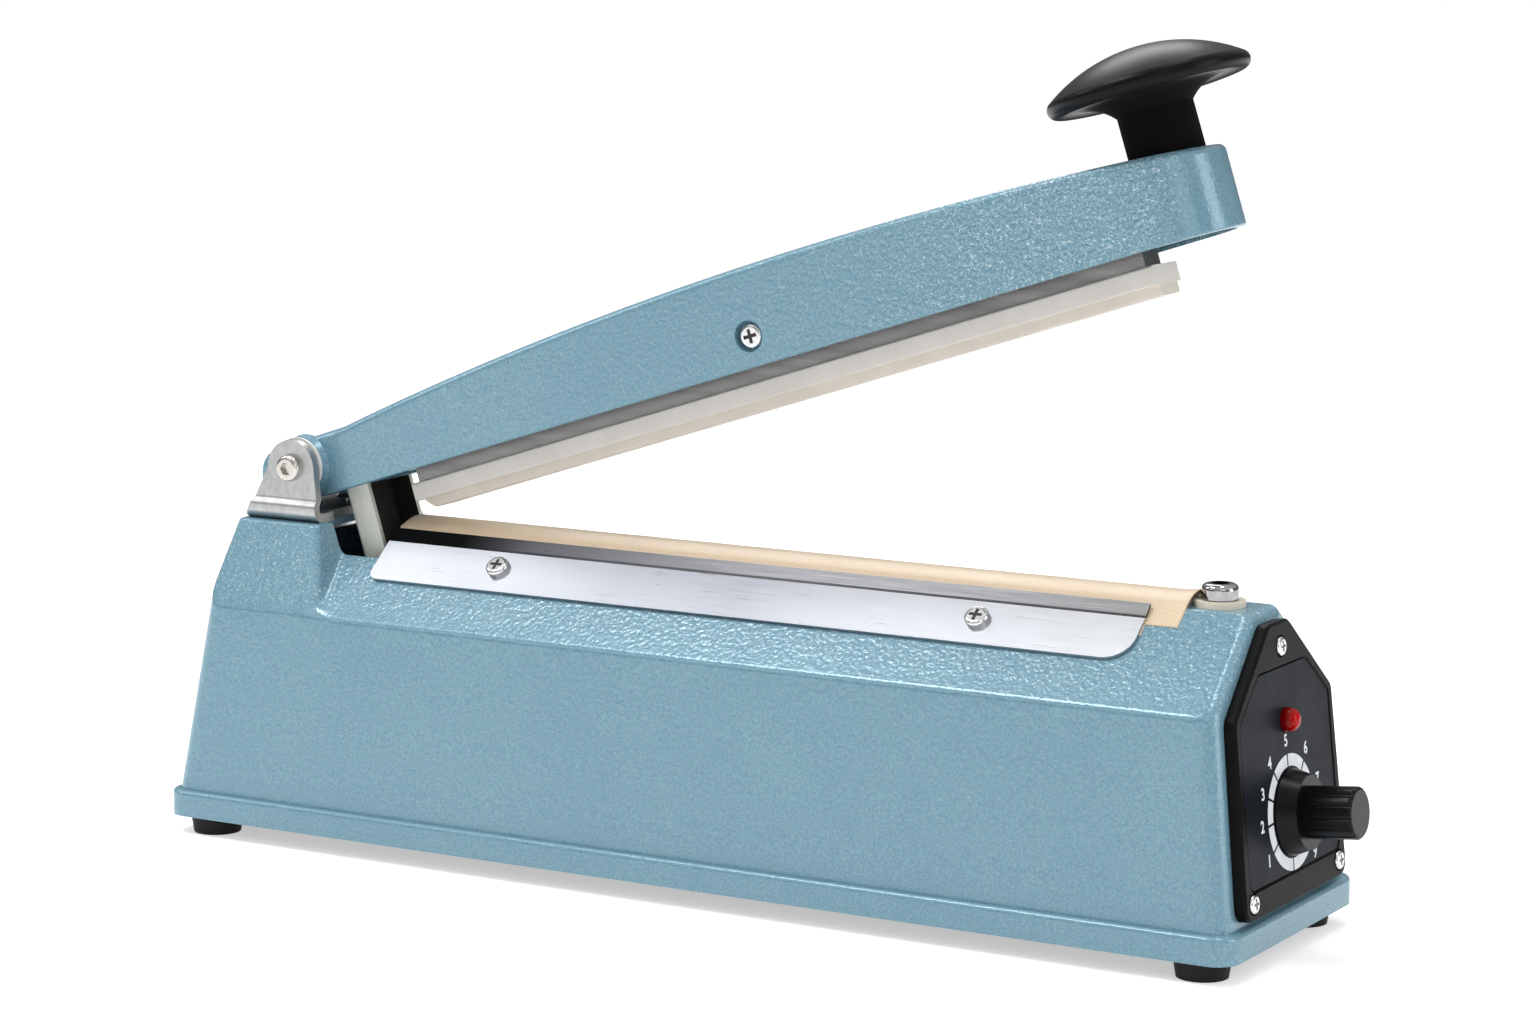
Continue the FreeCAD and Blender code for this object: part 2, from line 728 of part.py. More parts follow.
# Bottom cover and feet
coreLeft = "(core_place - core_length / 2)"
coreRight = "(core_place + core_length / 2)"
coreSpots = [(coreLeft + " - 8", "0"), (coreRight + " + 8", "0")]
cover = block("BottomCover", "XY", "cover_thickness", [rectangle(
    "left_end + cover_ledge + free_gap", "right_end - cover_ledge - free_gap",
    "-skirt_width / 2 + cover_ledge + free_gap", "skirt_width / 2 - cover_ledge - free_gap",
    "skirt_corner - cover_ledge")],
    [(x, y, "large_thread + 2 * fit_gap") for x, y in footSpots + coreSpots], lift="foot_height")
node("bottom_cover", cover)
for label, (x, y) in zip(("foot_front_left", "foot_rear_left", "foot_front_right",
                          "foot_rear_right"), footSpots):
    foot = newBody(label.title().replace("_", ""))
    wide = newSketch(foot, "XY", "foot_height", circles=[(x, y, "foot_top")])
    narrow = newSketch(foot, "XY", "foot_drop", circles=[(x, y, "foot_bottom")])
    loft(foot, narrow, wide)
    pocket(foot, newSketch(foot, "XY", "0", circles=[(x, y, "large_head + 1")]),
           "foot_seat", back=True)
    pocket(foot, newSketch(foot, "XY", "0", circles=[(x, y, "large_thread + 2 * fit_gap")]),
           "foot_height * 2", back=True)
    node(label, foot)
screws("foot_screws", "XY", footSpots, "foot_seat", "large_head", "large_head_height",
       "large_thread", "foot_height - foot_seat + cover_thickness + boss_height - 2", "base", "plain",
       back=True)

# Hinge bracket: a folded plate with two ears
fold = block("BracketFold", "YZ", "ear_base_left + ear_base_right", [[
    ("-bracket_width / 2", "hinge_height + ear_radius"),
    ("-bracket_width / 2", "tower_height + ear_flare_high", "1"),
    ("-bracket_width / 2 - ear_flare", "tower_height + ear_flare_low", "1.5"),
    ("-bracket_width / 2 - ear_flare", "tower_height", "bracket_bend"),
    ("bracket_width / 2 + ear_flare", "tower_height", "bracket_bend"),
    ("bracket_width / 2 + ear_flare", "tower_height + ear_flare_low", "1.5"),
    ("bracket_width / 2", "tower_height + ear_flare_high", "1"),
    ("bracket_width / 2", "hinge_height + ear_radius"),
    ("ear_inner", "hinge_height + ear_radius"),
    ("ear_inner", "tower_height + ear_flare_high", "1"),
    ("ear_inner + ear_flare", "tower_height + ear_flare_low", "1"),
    ("ear_inner + ear_flare", "plate_top", "bracket_bend - bracket_sheet"),
    ("-ear_inner - ear_flare", "plate_top", "bracket_bend - bracket_sheet"),
    ("-ear_inner - ear_flare", "tower_height + ear_flare_low", "1"),
    ("-ear_inner", "tower_height + ear_flare_high", "1"),
    ("-ear_inner", "hinge_height + ear_radius")]], lift="hinge_axis - ear_base_left")
ears = block("BracketEars", "XZ", "bracket_width * 2", [[
    ("hinge_axis - ear_base_left", "tower_height"),
    ("hinge_axis + ear_base_right", "tower_height"),
    ("hinge_axis + ear_radius", "hinge_height"),
    ("hinge_axis - ear_radius", "hinge_height", "hinge_axis", "hinge_height + ear_radius")]],
    [("hinge_axis", "hinge_height", "bolt_size + 2 * fit_gap")], centred=True)
bracketBores = block("BracketBores", "XY", "bracket_sheet * 2",
                     [rectangle("slot_left - free_gap", "hinge_axis + ear_base_right + 1",
                                "-ear_inner + bracket_sheet * 2", "ear_inner - bracket_sheet * 2")],
                     [(x, y, "large_thread + 2 * fit_gap") for x, y in roofSpots],
                     lift="tower_height - bracket_sheet / 2")
node("hinge_bracket", cut("HingeBracket", common("BracketPlate", fold, ears), bracketBores))
screws("bracket_screws", "XY", roofSpots, "plate_top", "large_head", "large_head_height * 0.7",
       "large_thread", "bracket_sheet + wall + 5", "base", "plain")
hexNut("bracket_nuts", "XY", roofSpots, "roof_under - switch_sheet", "large_thread * 1.75",
       "large_thread + 2 * fit_gap", "large_thread * 0.8", "base", back=True)

hingeSpot = [("hinge_axis", "hinge_height")]
screws("hinge_bolt", "XZ", hingeSpot, "bracket_width / 2", "bolt_head", "bolt_head_height",
       "bolt_size", "bracket_width + 6", "base", drive="hex")
hexNut("hinge_nut", "XZ", hingeSpot, "-bracket_width / 2", "bolt_size * 1.6",
       "bolt_size + 2 * fit_gap", "bolt_size * 0.8", "base", back=True)
washers = newBody("HingeWashers")
for side in ("", "-"):
    face = newSketch(washers, "XZ", side + "(hinge_boss_half + fit_gap)", circles=[
        ("hinge_axis", "hinge_height", "hinge_boss * 2 + 3"),
        ("hinge_axis", "hinge_height", "bolt_size + 2 * fit_gap")])
    pad(washers, face, "washer_thickness", back=(side == "-"))
node("hinge_washers", washers)

# Sealing deck: bar, heating element, tape and clamp strips
bar = block("InsulatorBar", "YZ", "bar_right - slot_right + free_gap", [[
    ("-bar_width / 2", "deck_height"), ("bar_width / 2", "deck_height"),
    ("bar_width / 2", "deck_height + bar_edge"),
    ("-bar_width / 2", "deck_height + bar_edge", "0", "bar_top")]],
    lift="slot_right - free_gap")
node("insulator_bar", bar)
elementRun = block("ElementRun", "XZ", "element_width", [[
    ("slot_right - free_gap - element_thickness", "deck_under - wall * 3"),
    ("slot_right - free_gap", "deck_under - wall * 3"),
    ("slot_right - free_gap", "bar_top"), ("bar_right + free_gap", "bar_top"),
    ("bar_right + 2", "bush_top"), ("terminal_place", "bush_top"),
    ("terminal_place", "bush_top + element_thickness"),
    ("bar_right + 2.1", "bush_top + element_thickness"),
    ("bar_right + 2 * free_gap", "element_top"),
    ("slot_right - free_gap - element_thickness", "element_top")]], centred=True)
elementEye = block("ElementEye", "XY", "element_thickness",
                   circles=[("terminal_place", "0", "terminal_head - 2")], lift="bush_top")
elementBore = block("ElementBore", "XY", "element_thickness * 3",
                    circles=[("terminal_place", "0", "large_thread + 2 * fit_gap")],
                    lift="bush_top - element_thickness")
node("heating_element", cut("HeatingElement", fuse("ElementStrip", elementRun, elementEye),
                            elementBore))


def slopeAt(y):
    return "(deck_height - (%s - deck_half) * slope_rate)" % y


def tapeEdge(side, lift, top):
    """Half of one face of the tape, from the slope up to the bar's rounded top."""
    return [(side + "(tape_reach + %s * slope_rate / slope_long)" % lift,
             slopeAt("tape_reach") + " + %s / slope_long" % lift),
            (side + "(deck_half + %s * slope_rate / slope_long)" % lift,
             "deck_height + %s / slope_long" % lift),
            (side + "(bar_width / 2 + free_gap + %s)" % lift, "deck_height + bar_edge + fit_gap")]


tapeLow = tapeEdge("", "0", "tape_under")
tapeHigh = tapeEdge("", "tape_thickness", "tape_top")
farLow = tapeEdge("-", "0", "tape_under")
farHigh = tapeEdge("-", "tape_thickness", "tape_top")
tape = block("PtfeTape", "YZ", "tape_right - slot_right - free_gap", [
    farHigh + [tapeHigh[2] + ("0", "tape_top")] + tapeHigh[1::-1]
    + tapeLow + [farLow[2] + ("0", "tape_under")] + farLow[1::-1]],
             lift="slot_right + free_gap")
for side in ("", "-"):
    far = side + "(tape_reach * 2)"
    near = side + "tape_flap_reach"
    low, high = (near, far) if side == "" else (far, near)
    trim = newSketch(tape, "XY", "deck_height * 1.1", [rectangle(
        "tape_flap_start", "tape_right * 1.1", low, high)])
    pocket(tape, trim, "deck_height")
    pocket(tape, newSketch(tape, "XY", "deck_height * 1.1", circles=[
        (x, side + "(deck_half + strip_screw_drop / slope_long)", "large_thread + 1")
        for x in stripSpots]), "deck_height")
node("ptfe_tape", tape)

for name, side in (("front", "-"), ("rear", "")):
    strip = newBody("ClampStrip" + name.title())
    low = "tape_thickness"
    corners = [(side + "strip_bottom", low), (side + "strip_crease", low),
               (side + "strip_top", low + " + strip_lift"),
               (side + "strip_top", low + " + strip_lift + strip_thickness"),
               (side + "strip_crease", low + " + strip_thickness"),
               (side + "strip_bottom", low + " + strip_thickness")]
    section = newSketch(strip, "YZ", "-strip_left", [corners])
    pad(strip, section, "strip_left + strip_right")
    holes = newSketch(strip, "XY", "strip_thickness * 4", circles=[
        (x, side + "strip_screw_drop", "large_thread + 2 * fit_gap") for x in stripSpots])
    pocket(strip, holes, "strip_thickness * 8")
    edge = number("strip_bottom") * (-1 if side else 1)
    for end, radius in (("-strip_left", 3.5), ("strip_right", 9)):
        along = number(end)
        roundEdges(strip, radius, lambda line, middle: abs(middle.x - along) < 1e-3
                   and abs(middle.y - edge) < 1e-3 and line.Length < 2)
    node("clamp_strip_" + name, strip, name)
    screws("clamp_screws_" + name, "XY", [(x, side + "strip_screw_drop") for x in stripSpots],
           "tape_thickness + strip_thickness", "large_head", "large_head_height",
           "large_thread", "wall + 5", name)

# Terminals of the heating element
terminalSpot = [("terminal_place", "0")]
bush = newBody("TerminalBush")
pad(bush, newSketch(bush, "XY", "deck_height", circles=[
    ("terminal_place", "0", "bush_size")]), "bush_thickness")
pad(bush, newSketch(bush, "XY", "deck_height", circles=[
    ("terminal_place", "0", "large_thread + 4 - 2 * fit_gap")]), "wall + 2", back=True)
pocket(bush, newSketch(bush, "XY", "bush_top", circles=[
    ("terminal_place", "0", "large_thread + 2 * fit_gap")]), "bush_thickness + wall + 4")
node("terminal_bush", bush)
screws("terminal_screw_right", "XY", terminalSpot, "bush_top + element_thickness",
       "terminal_head", "terminal_head_height", "large_thread", "bush_thickness + wall + 8",
       "base", drive="hex")
hexNut("terminal_nut", "XY", terminalSpot, "deck_under - 2", "large_thread * 1.75",
       "large_thread + 2 * fit_gap", "large_thread * 0.8", "base", back=True)
terminalBlock = block("TerminalBlockLeft", "XY", "wall * 4", [rectangle(
    "slot_right - free_gap", "slot_right + 10", "-7", "7")], lift="deck_under - wall * 4")
terminalBlockBore = block("TerminalBlockBore", "YZ", "7", circles=[
    ("0", "deck_under - wall * 2", "small_thread + 2 * fit_gap")], lift="slot_right - free_gap")
node("terminal_block_left", cut("LeftBlock", terminalBlock, terminalBlockBore))

# Control panel on the right end
def shield(piece, grow="0"):
    """The six-sided outline of the panel or its label, grown outwards a little."""
    low = "%s_bottom - %s" % (piece, grow)
    middle = "%s_shoulder + %s * 0.3" % (piece, grow)
    high = "%s_top + %s" % (piece, grow)
    lowHalf = "(%s_low_half + %s)" % (piece, grow)
    middleHalf = "(%s_mid_half + %s)" % (piece, grow)
    topHalf = "(%s_top_half + %s * 0.4)" % (piece, grow)
    corner = "%s_corner" % piece
    return [("-" + lowHalf, low, corner), (lowHalf, low, corner),
            (middleHalf, middle, corner), (topHalf, high, corner),
            ("-" + topHalf, high, corner), ("-" + middleHalf, middle, corner)]


panel = newBody("ControlPanel")
pad(panel, newSketch(panel, "YZ", "0", [shield("panel")]), "panel_thickness")
pocket(panel, newSketch(panel, "YZ", "panel_thickness", [shield("label", "fit_gap")]),
       "label_depth")
frontFace = number("panel_thickness")
roundEdges(panel, "panel_bevel", lambda edge, middle: abs(middle.x - frontFace) < 1e-3
           and (abs(middle.y) > number("label_low_half + 1") or middle.z < number("label_bottom - 1")
                or middle.z > number("label_top + 1")
                or abs(middle.y) / number("panel_mid_half") + middle.z / number("panel_top") > 1.36),
           "Chamfer")
pocket(panel, newSketch(panel, "YZ", "panel_thickness", circles=[
    ("0", "dial_height", "bush_thread * 2")]), "panel_thickness - wall / 2")
pocket(panel, newSketch(panel, "YZ", "panel_thickness", circles=[
    (x, y, "small_head + 1") for x, y in endSpots]), "panel_sink")
pocket(panel, newSketch(panel, "YZ", "panel_thickness", circles=[
    (x, y, "small_thread + 2 * fit_gap") for x, y in endSpots] + [
    ("0", "led_height", "led_size + 2 * fit_gap"),
    ("0", "dial_height", "bush_thread + 2 * fit_gap")]), "panel_thickness * 2")
node("control_panel", panel, "panel")
label = block("PanelLabel", "YZ", "label_thickness", [shield("label")], [
    ("0", "led_height", "led_size + 2 * fit_gap"), ("0", "dial_height", "bush_thread * 2")],
    lift="panel_thickness - label_depth")
node("panel_label", label, "panel")
screws("panel_screws", "YZ", endSpots, "panel_thickness - panel_sink", "small_head",
       "small_head_height", "small_thread", "panel_thickness + wall + 1", "panel")

led = block("LedLens", "YZ", "wall + panel_thickness + led_size * 0.6", circles=[
    ("0", "led_height", "led_size")], lift="-wall")
ledTip = number("panel_thickness + led_size * 0.6")
roundEdges(led, "led_size * 0.47", lambda edge, middle: abs(middle.x - ledTip) < 1e-3)
node("led_lens", led, "panel")
holder = block("LedHolder", "YZ", "6", circles=[
    ("0", "led_height", "led_size + 3"), ("0", "led_height", "3")], lift="-wall - 6")
node("led_holder", holder, "panel")

# Timer: potentiometer, circuit board and knob
dial = [("0", "dial_height")]
pot = newBody("Potentiometer")
pad(pot, newSketch(pot, "YZ", "end_inner", circles=[
    ("0", "dial_height", "pot_size")]), "pot_depth", back=True)
pad(pot, newSketch(pot, "YZ", "end_inner", circles=[
    ("0", "dial_height", "bush_thread")]), "wall + panel_thickness")
pocket(pot, newSketch(pot, "YZ", "panel_thickness + wall", circles=[
    ("0", "dial_height", "shaft_size + 2 * fit_gap")]), "wall * 2 + panel_thickness")
node("potentiometer", pot, "panel")
hexNut("potentiometer_nut", "YZ", dial, "wall / 2", "bush_thread * 1.6",
       "bush_thread + 2 * fit_gap", "panel_thickness - wall", "panel")
shaft = block("TimerShaft", "YZ", "wall * 2 + panel_thickness + knob_reach / 2", circles=[
    ("0", "dial_height", "shaft_size")], lift="free_gap - wall")
node("timer_shaft", shaft, "panel")

knobSeat = "(panel_thickness + free_gap)"
knob = newBody("TimerKnob")
loft(knob, newSketch(knob, "YZ", knobSeat, circles=[("0", "dial_height", "knob_skirt")]),
     newSketch(knob, "YZ", knobSeat + " + knob_skirt_height",
               circles=[("0", "dial_height", "knob_skirt_top")]))
pad(knob, newSketch(knob, "YZ", knobSeat + " + knob_skirt_height",
                    circles=[("0", "dial_height", "knob_grip")]), "knob_reach - knob_skirt_height")
tipLevel = number(knobSeat + " + knob_reach")
roundEdges(knob, 1.2, lambda edge, middle: abs(middle.x - tipLevel) < 1e-3)
turn = "360 / knob_flutes"
flutes = newSketch(knob, "YZ", knobSeat + " + knob_reach + 1", circles=[
    ("(knob_grip / 2 + 0.7) * cos(%s * %d)" % (turn, step),
     "dial_height + (knob_grip / 2 + 0.7) * sin(%s * %d)" % (turn, step), "2.4")
    for step in range(int(number("knob_flutes")))])
pocket(knob, flutes, "knob_reach - knob_skirt_height + 1")
pocket(knob, newSketch(knob, "YZ", knobSeat, circles=[
    ("0", "dial_height", "bush_thread * 1.7")]), "knob_skirt_height / 3", back=True)
pocket(knob, newSketch(knob, "YZ", knobSeat, circles=[
    ("0", "dial_height", "shaft_size")]), "wall + knob_reach / 2", back=True)
node("timer_knob", knob, "panel")

boardFace = "(end_inner - pot_depth)"
boardSpots = [(side + "25", height) for side in ("-", "") for height in ("26", "70")]
board = block("TimerBoard", "YZ", "board_thickness", [rectangle("-30", "30", "21", "76", 2)],
              [(x, y, "small_thread") for x, y in boardSpots],
              lift=boardFace + " - board_thickness")
node("timer_board", board, "panel")
standoffs = newBody("BoardStandoffs")
pad(standoffs, newSketch(standoffs, "YZ", boardFace, [
    hexagon(x, y, "small_thread * 1.8") for x, y in boardSpots]), "pot_depth")
pad(standoffs, newSketch(standoffs, "YZ", boardFace, circles=[
    (x, y, "small_thread - 2 * fit_gap") for x, y in boardSpots]), "board_thickness + 1",
    back=True)
node("board_standoffs", standoffs, "panel")
relay = block("TimerRelay", "YZ", "16", [rectangle("-26", "-6", "30", "45", 1)],
              lift=boardFace + " - board_thickness - 16")
node("timer_relay", relay, "panel")
capacitor = block("TimerCapacitor", "YZ", "20", circles=[("14", "40", "12")],
                  lift=boardFace + " - board_thickness - 20")
node("timer_capacitor", capacitor, "panel")

# Transformer on the bottom cover
limb = "core_length / 6"
core = block("TransformerCore", "XZ", "core_stack", [
    rectangle(coreLeft, coreRight, "cover_top", "cover_top + core_height"),
    rectangle(coreLeft + " + " + limb, "core_place - " + limb, "cover_top + " + limb,
              "cover_top + core_height - " + limb),
    rectangle("core_place + " + limb, coreRight + " - " + limb, "cover_top + " + limb,
              "cover_top + core_height - " + limb)], centred=True)
node("transformer_core", core)
coil = block("TransformerCoil", "XY", "core_height - 2 * core_length / 6 - 2 * free_gap", [
    rectangle(coreLeft + " + " + limb + " + free_gap", coreRight + " - " + limb + " - free_gap",
              "-core_stack / 2 - coil_overhang", "core_stack / 2 + coil_overhang", 6),
    rectangle("core_place - " + limb + " - fit_gap", "core_place + " + limb + " + fit_gap",
              "-core_stack / 2 - fit_gap", "core_stack / 2 + fit_gap")],
    lift="cover_top + core_length / 6 + free_gap")
node("transformer_coil", coil)
frameTop = "(cover_top + core_height)"
frame = block("TransformerFrame", "XZ", "core_stack * 0.8", [[
    (coreLeft + " - 14", "cover_top"), (coreLeft, "cover_top"), (coreLeft, frameTop),
    (coreRight, frameTop), (coreRight, "cover_top"), (coreRight + " + 14", "cover_top"),
    (coreRight + " + 14", "cover_top + 1.5"), (coreRight + " + 1.5", "cover_top + 1.5"),
    (coreRight + " + 1.5", frameTop + " + 1.5"), (coreLeft + " - 1.5", frameTop + " + 1.5"),
    (coreLeft + " - 1.5", "cover_top + 1.5"), (coreLeft + " - 14", "cover_top + 1.5")]],
    centred=True)
frameBores = block("FrameBores", "XY", "wall * 2", circles=[
    (x, y, "large_thread + 2 * fit_gap") for x, y in coreSpots], lift="cover_top - wall / 2")
node("transformer_frame", cut("FrameStrap", frame, frameBores))
screws("transformer_screws", "XY", coreSpots, "cover_top + 1.5", "large_head",
       "large_head_height", "large_thread", "1.3 + cover_thickness", "base", "plain")

# Microswitch under the tower, its bracket and its button
hanger = block("SwitchHanger", "XZ", "bracket_screw_spread + large_head + 2", [[
    ("switch_back - switch_sheet", "roof_under"),
    ("switch_back - switch_sheet", "switch_bottom - 2"),
    ("switch_back", "switch_bottom - 2"), ("switch_back", "roof_under - switch_sheet"),
    ("slot_left - 2", "roof_under - switch_sheet"), ("slot_left - 2", "roof_under")]],
    centred=True)
hangerBores = block("HangerBores", "XY", "wall * 2", circles=[
    (x, y, "large_thread + 2 * fit_gap") for x, y in roofSpots], lift="roof_under - wall")
switchSpots = [("0", "switch_bottom + 3"), ("0", "switch_bottom + switch_height - 3")]
switchBores = block("SwitchBores", "YZ", "14", circles=[
    (x, y, "small_thread + 2 * fit_gap") for x, y in switchSpots],
    lift="switch_back - switch_sheet - 6")
node("switch_bracket", cut("SwitchBracket", hanger, hangerBores, switchBores))
switch = block("SwitchBody", "XZ", "switch_width", [rectangle(
    "switch_back", "switch_face", "switch_bottom", "switch_bottom + switch_height", 0.8)], centred=True)
buttonBore = block("ButtonBore", "YZ", "button_travel + 5", circles=[
    ("0", "button_height", "button_size + 2 * free_gap")],
    lift="switch_face - button_travel - 4")
node("switch_body", cut("Switch", switch, buttonBore, switchBores))
screws("switch_screws", "YZ", switchSpots, "switch_back - switch_sheet", "small_head",
       "small_head_height", "small_thread", "switch_sheet + 6", "base", "plain", back=True)
button = block("SwitchButton", "YZ", "3.5 + button_reach", circles=[
    ("0", "button_height", "button_size")], lift="switch_face - 3.5")
node("switch_button", button)

# Return spring between the lever and a post on the bottom cover
leverPull = "(hinge_axis + lever_web * cos(open_angle) + (lever_length - 6) * sin(open_angle))"
pullHeight = "(hinge_height + lever_web * sin(open_angle) - (lever_length - 6) * cos(open_angle))"
spring = block("ReturnSpring", "YZ", "-anchor_place - %s - 2 * free_gap - 1" % leverPull,
               circles=[("0", pullHeight, "spring_size"),
                        ("0", pullHeight, "spring_size - 2 * spring_wire")],
               lift=leverPull + " + free_gap + 1")
node("return_spring", spring)
post = block("SpringPost", "XZ", "14", [[
    ("-anchor_place", "cover_top"), ("-anchor_place + 14", "cover_top"),
    ("-anchor_place + 14", "cover_top + 2"), ("-anchor_place + 2", "cover_top + 2"),
    ("-anchor_place + 2", pullHeight + " + 8"), ("-anchor_place", pullHeight + " + 8")]],
    centred=True)
node("spring_anchor", post)

# Mains entry
mains = block("MainsTerminal", "XY", "18", [rectangle("-32", "4", "-32", "-16", 1)], lift="cover_top")
node("mains_terminal", mains)
grommet = newBody("CordGrommet")
pad(grommet, newSketch(grommet, "YZ", "0", circles=[
    ("0", "grommet_height", "grommet_size + 6")]), "3", back=True)
pad(grommet, newSketch(grommet, "YZ", "0", circles=[
    ("0", "grommet_height", "grommet_size - 2 * fit_gap")]), "wall + 4")
pocket(grommet, newSketch(grommet, "YZ", "-3", circles=[
    ("0", "grommet_height", "grommet_size / 2 + 1")]), "wall + 12", back=True)
node("cord_grommet", grommet, "left")

# Arm casting: a long inverted trough with a solid root
under = "-arm_under"


def crownEdge(inset, start, startHeight):
    """The arm's top edge from the nose back to a start, lowered by inset."""
    nose = "nose_place + nose_radius - " + inset
    return [(nose, under + " - (%s) * 2" % inset), (nose, "nose_top - " + inset),
            (start, startHeight, "crown_place", "crown_top - " + inset)]


def planEdge(inset, start):
    """The arm seen from above, moved inwards by inset."""
    root = "(arm_root_half - %s)" % inset
    half = "(arm_half - %s)" % inset
    middle = "(flank_start + root_end) / 2"
    bow = "(%s - flank_bow)" % half
    return [(start, "-" + root), ("root_end", "-" + root),
            ("flank_start", "-" + half, middle, "-" + bow), ("nose_start", "-" + half),
            ("nose_start", half, "nose_place + nose_radius - " + inset, "0"),
            ("flank_start", half), ("root_end", root, middle, bow), (start, root)]


def armRound(middle, edge):
    """Round the front of the arm: its crown and nose well, its lower rim a little."""
    if middle.x < number("root_end + 3") or abs(middle.y) < 1:
        return None
    if middle.z < number("0.1 - arm_under"):
        return "arm_rim_round"
    return "crown_round" if middle.z > number("nose_top / 2") and edge.Length > 31 else None


armSide = block("ArmSide", "XZ", "arm_half * 4", [
    [("root_end + 2", under)] + crownEdge("0", "root_end + 2", "arm_root_top - 1.6")],
    centred=True)
armPlan = block("ArmPlan", "XY", "arm_half * 4", [planEdge("0", "0")], centred=True)
armFront = rounded("ArmFront", common("ArmForm", armSide, armPlan), armRound)
armBack = block("ArmBack", "XZ", "arm_root_half * 2", [
    [("-tail_place", "-tail_rise - tail_radius", "-tail_place - tail_radius", "-tail_rise"),
     ("2", under), ("root_join", under), ("root_join", "arm_root_top"),
     ("-tail_place", "tail_radius - tail_rise")]], centred=True)
roundEdges(armBack, "crown_round", lambda edge, middle: abs(middle.y) > 1 and (
    middle.z > 5 or middle.x < 2))
troughSide = block("TroughSide", "XZ", "arm_half * 4", [
    [("cross_wall", under + " - arm_wall * 2")]
    + crownEdge("arm_wall", "cross_wall", "arm_root_top - arm_wall * 0.8")], centred=True)
troughPlan = block("TroughPlan", "XY", "arm_half * 4", [
    planEdge("arm_wall", "cross_wall - 1")], centred=True)
leverPocket = block("LeverPocket", "XY", "arm_under + lever_top + 2 * free_gap", [rectangle(
    "lever_start", "lever_back + 2 * free_gap", "-lever_width / 2 - free_gap",
    "lever_width / 2 + free_gap")], lift="-arm_under - free_gap")
hingeBoss = newBody("HingeBoss")
pad(hingeBoss, newSketch(hingeBoss, "XZ", "0", circles=[("0", "0", "hinge_boss * 2")]),
    "hinge_boss_half * 2", centred=True)
for side in ("", "-"):
    loft(hingeBoss,
         newSketch(hingeBoss, "XZ", side + "(arm_root_half - 1)",
                   circles=[("0", "0", "hinge_boss * 2 + 4")]),
         newSketch(hingeBoss, "XZ", side + "(hinge_boss_half - 1.5)",
                   circles=[("0", "0", "hinge_boss * 2 - 0.02")]))
pivot = ("pivot_place", "-pivot_drop")
pivotBosses = newBody("PivotBosses")
for side in ("", "-"):
    pad(pivotBosses, newSketch(pivotBosses, "XZ", side + "(rail_width / 2 + 2 * free_gap)",
                               circles=[pivot + ("pivot_boss",)]),
        "arm_half - arm_wall / 2 - rail_width / 2 - 2 * free_gap", back=(side == "-"))
handleBoss = block("HandleBoss", "XY", "crown_end + arm_under / 3 - 1", circles=[
    ("nose_place", "0", "handle_stud_size * 2.4")], lift="-arm_under / 3")
hingeBore = block("HingeBore", "XZ", "bracket_width", circles=[
    ("0", "0", "bolt_size + 2 * fit_gap")], centred=True)
pivotBore = block("PivotBore", "XZ", "arm_half * 2 - arm_wall / 2", circles=[
    pivot + ("bolt_size + 2 * fit_gap",)], lift="-(arm_half - arm_wall / 2)")
pivotRecess = block("PivotRecess", "XZ", "arm_wall * 2", circles=[
    pivot + ("pivot_recess",)], lift="arm_half - arm_wall")
studBore = block("StudBore", "XY", "handle_seat * 3", circles=[
    ("nose_place", "0", "handle_stud_size + 2 * fit_gap")], lift="-handle_seat")
rivetSpots = [(side + "lever_width / 4", "-arm_under / 2") for side in ("-", "")]
rivetBores = block("RivetBores", "YZ", "rivet_reach + fit_gap", circles=[
    (x, y, "small_thread + 2 * fit_gap") for x, y in rivetSpots],
    lift="lever_start - rivet_reach - fit_gap")
trough = cut("ArmTrough", fuse("ArmSolid", armFront, armBack),
             common("TroughForm", troughSide, troughPlan), leverPocket)
node("arm_casting", cut("ArmCasting", fuse("ArmWithBosses", trough, hingeBoss, pivotBosses,
                                           handleBoss),
                        hingeBore, pivotBore, pivotRecess, studBore, rivetBores), "arm")

# Lever riveted under the arm
edge = "lever_width / 2"
lever = block("ActuatorLever", "XY", "lever_length + lever_top", [[
    ("lever_back", "-" + edge), ("lever_start", "-" + edge, "lever_sheet"),
    ("lever_start", edge, "lever_sheet"), ("lever_back", edge),
    ("lever_back", edge + " - lever_sheet"), ("lever_web", edge + " - lever_sheet"),
    ("lever_web", "-" + edge + " + lever_sheet"),
    ("lever_back", "-" + edge + " + lever_sheet")]], lift="-lever_length")
pocket(lever, newSketch(lever, "YZ", "lever_web + 1", circles=[
    (x, y, "small_thread + 2 * fit_gap") for x, y in rivetSpots] + [
    ("0", "6 - lever_length", "small_thread")]), "lever_sheet + 2")
node("actuator_channel", lever, "arm")
rivets = newBody("LeverRivets")
pad(rivets, newSketch(rivets, "YZ", "lever_web", circles=[
    (x, y, "small_thread") for x, y in rivetSpots]), "lever_sheet + rivet_reach", back=True)
pad(rivets, newSketch(rivets, "YZ", "lever_web", circles=[
    (x, y, "small_head * 0.9") for x, y in rivetSpots]), "small_head_height * 0.7")
node("lever_rivets", rivets, "arm")

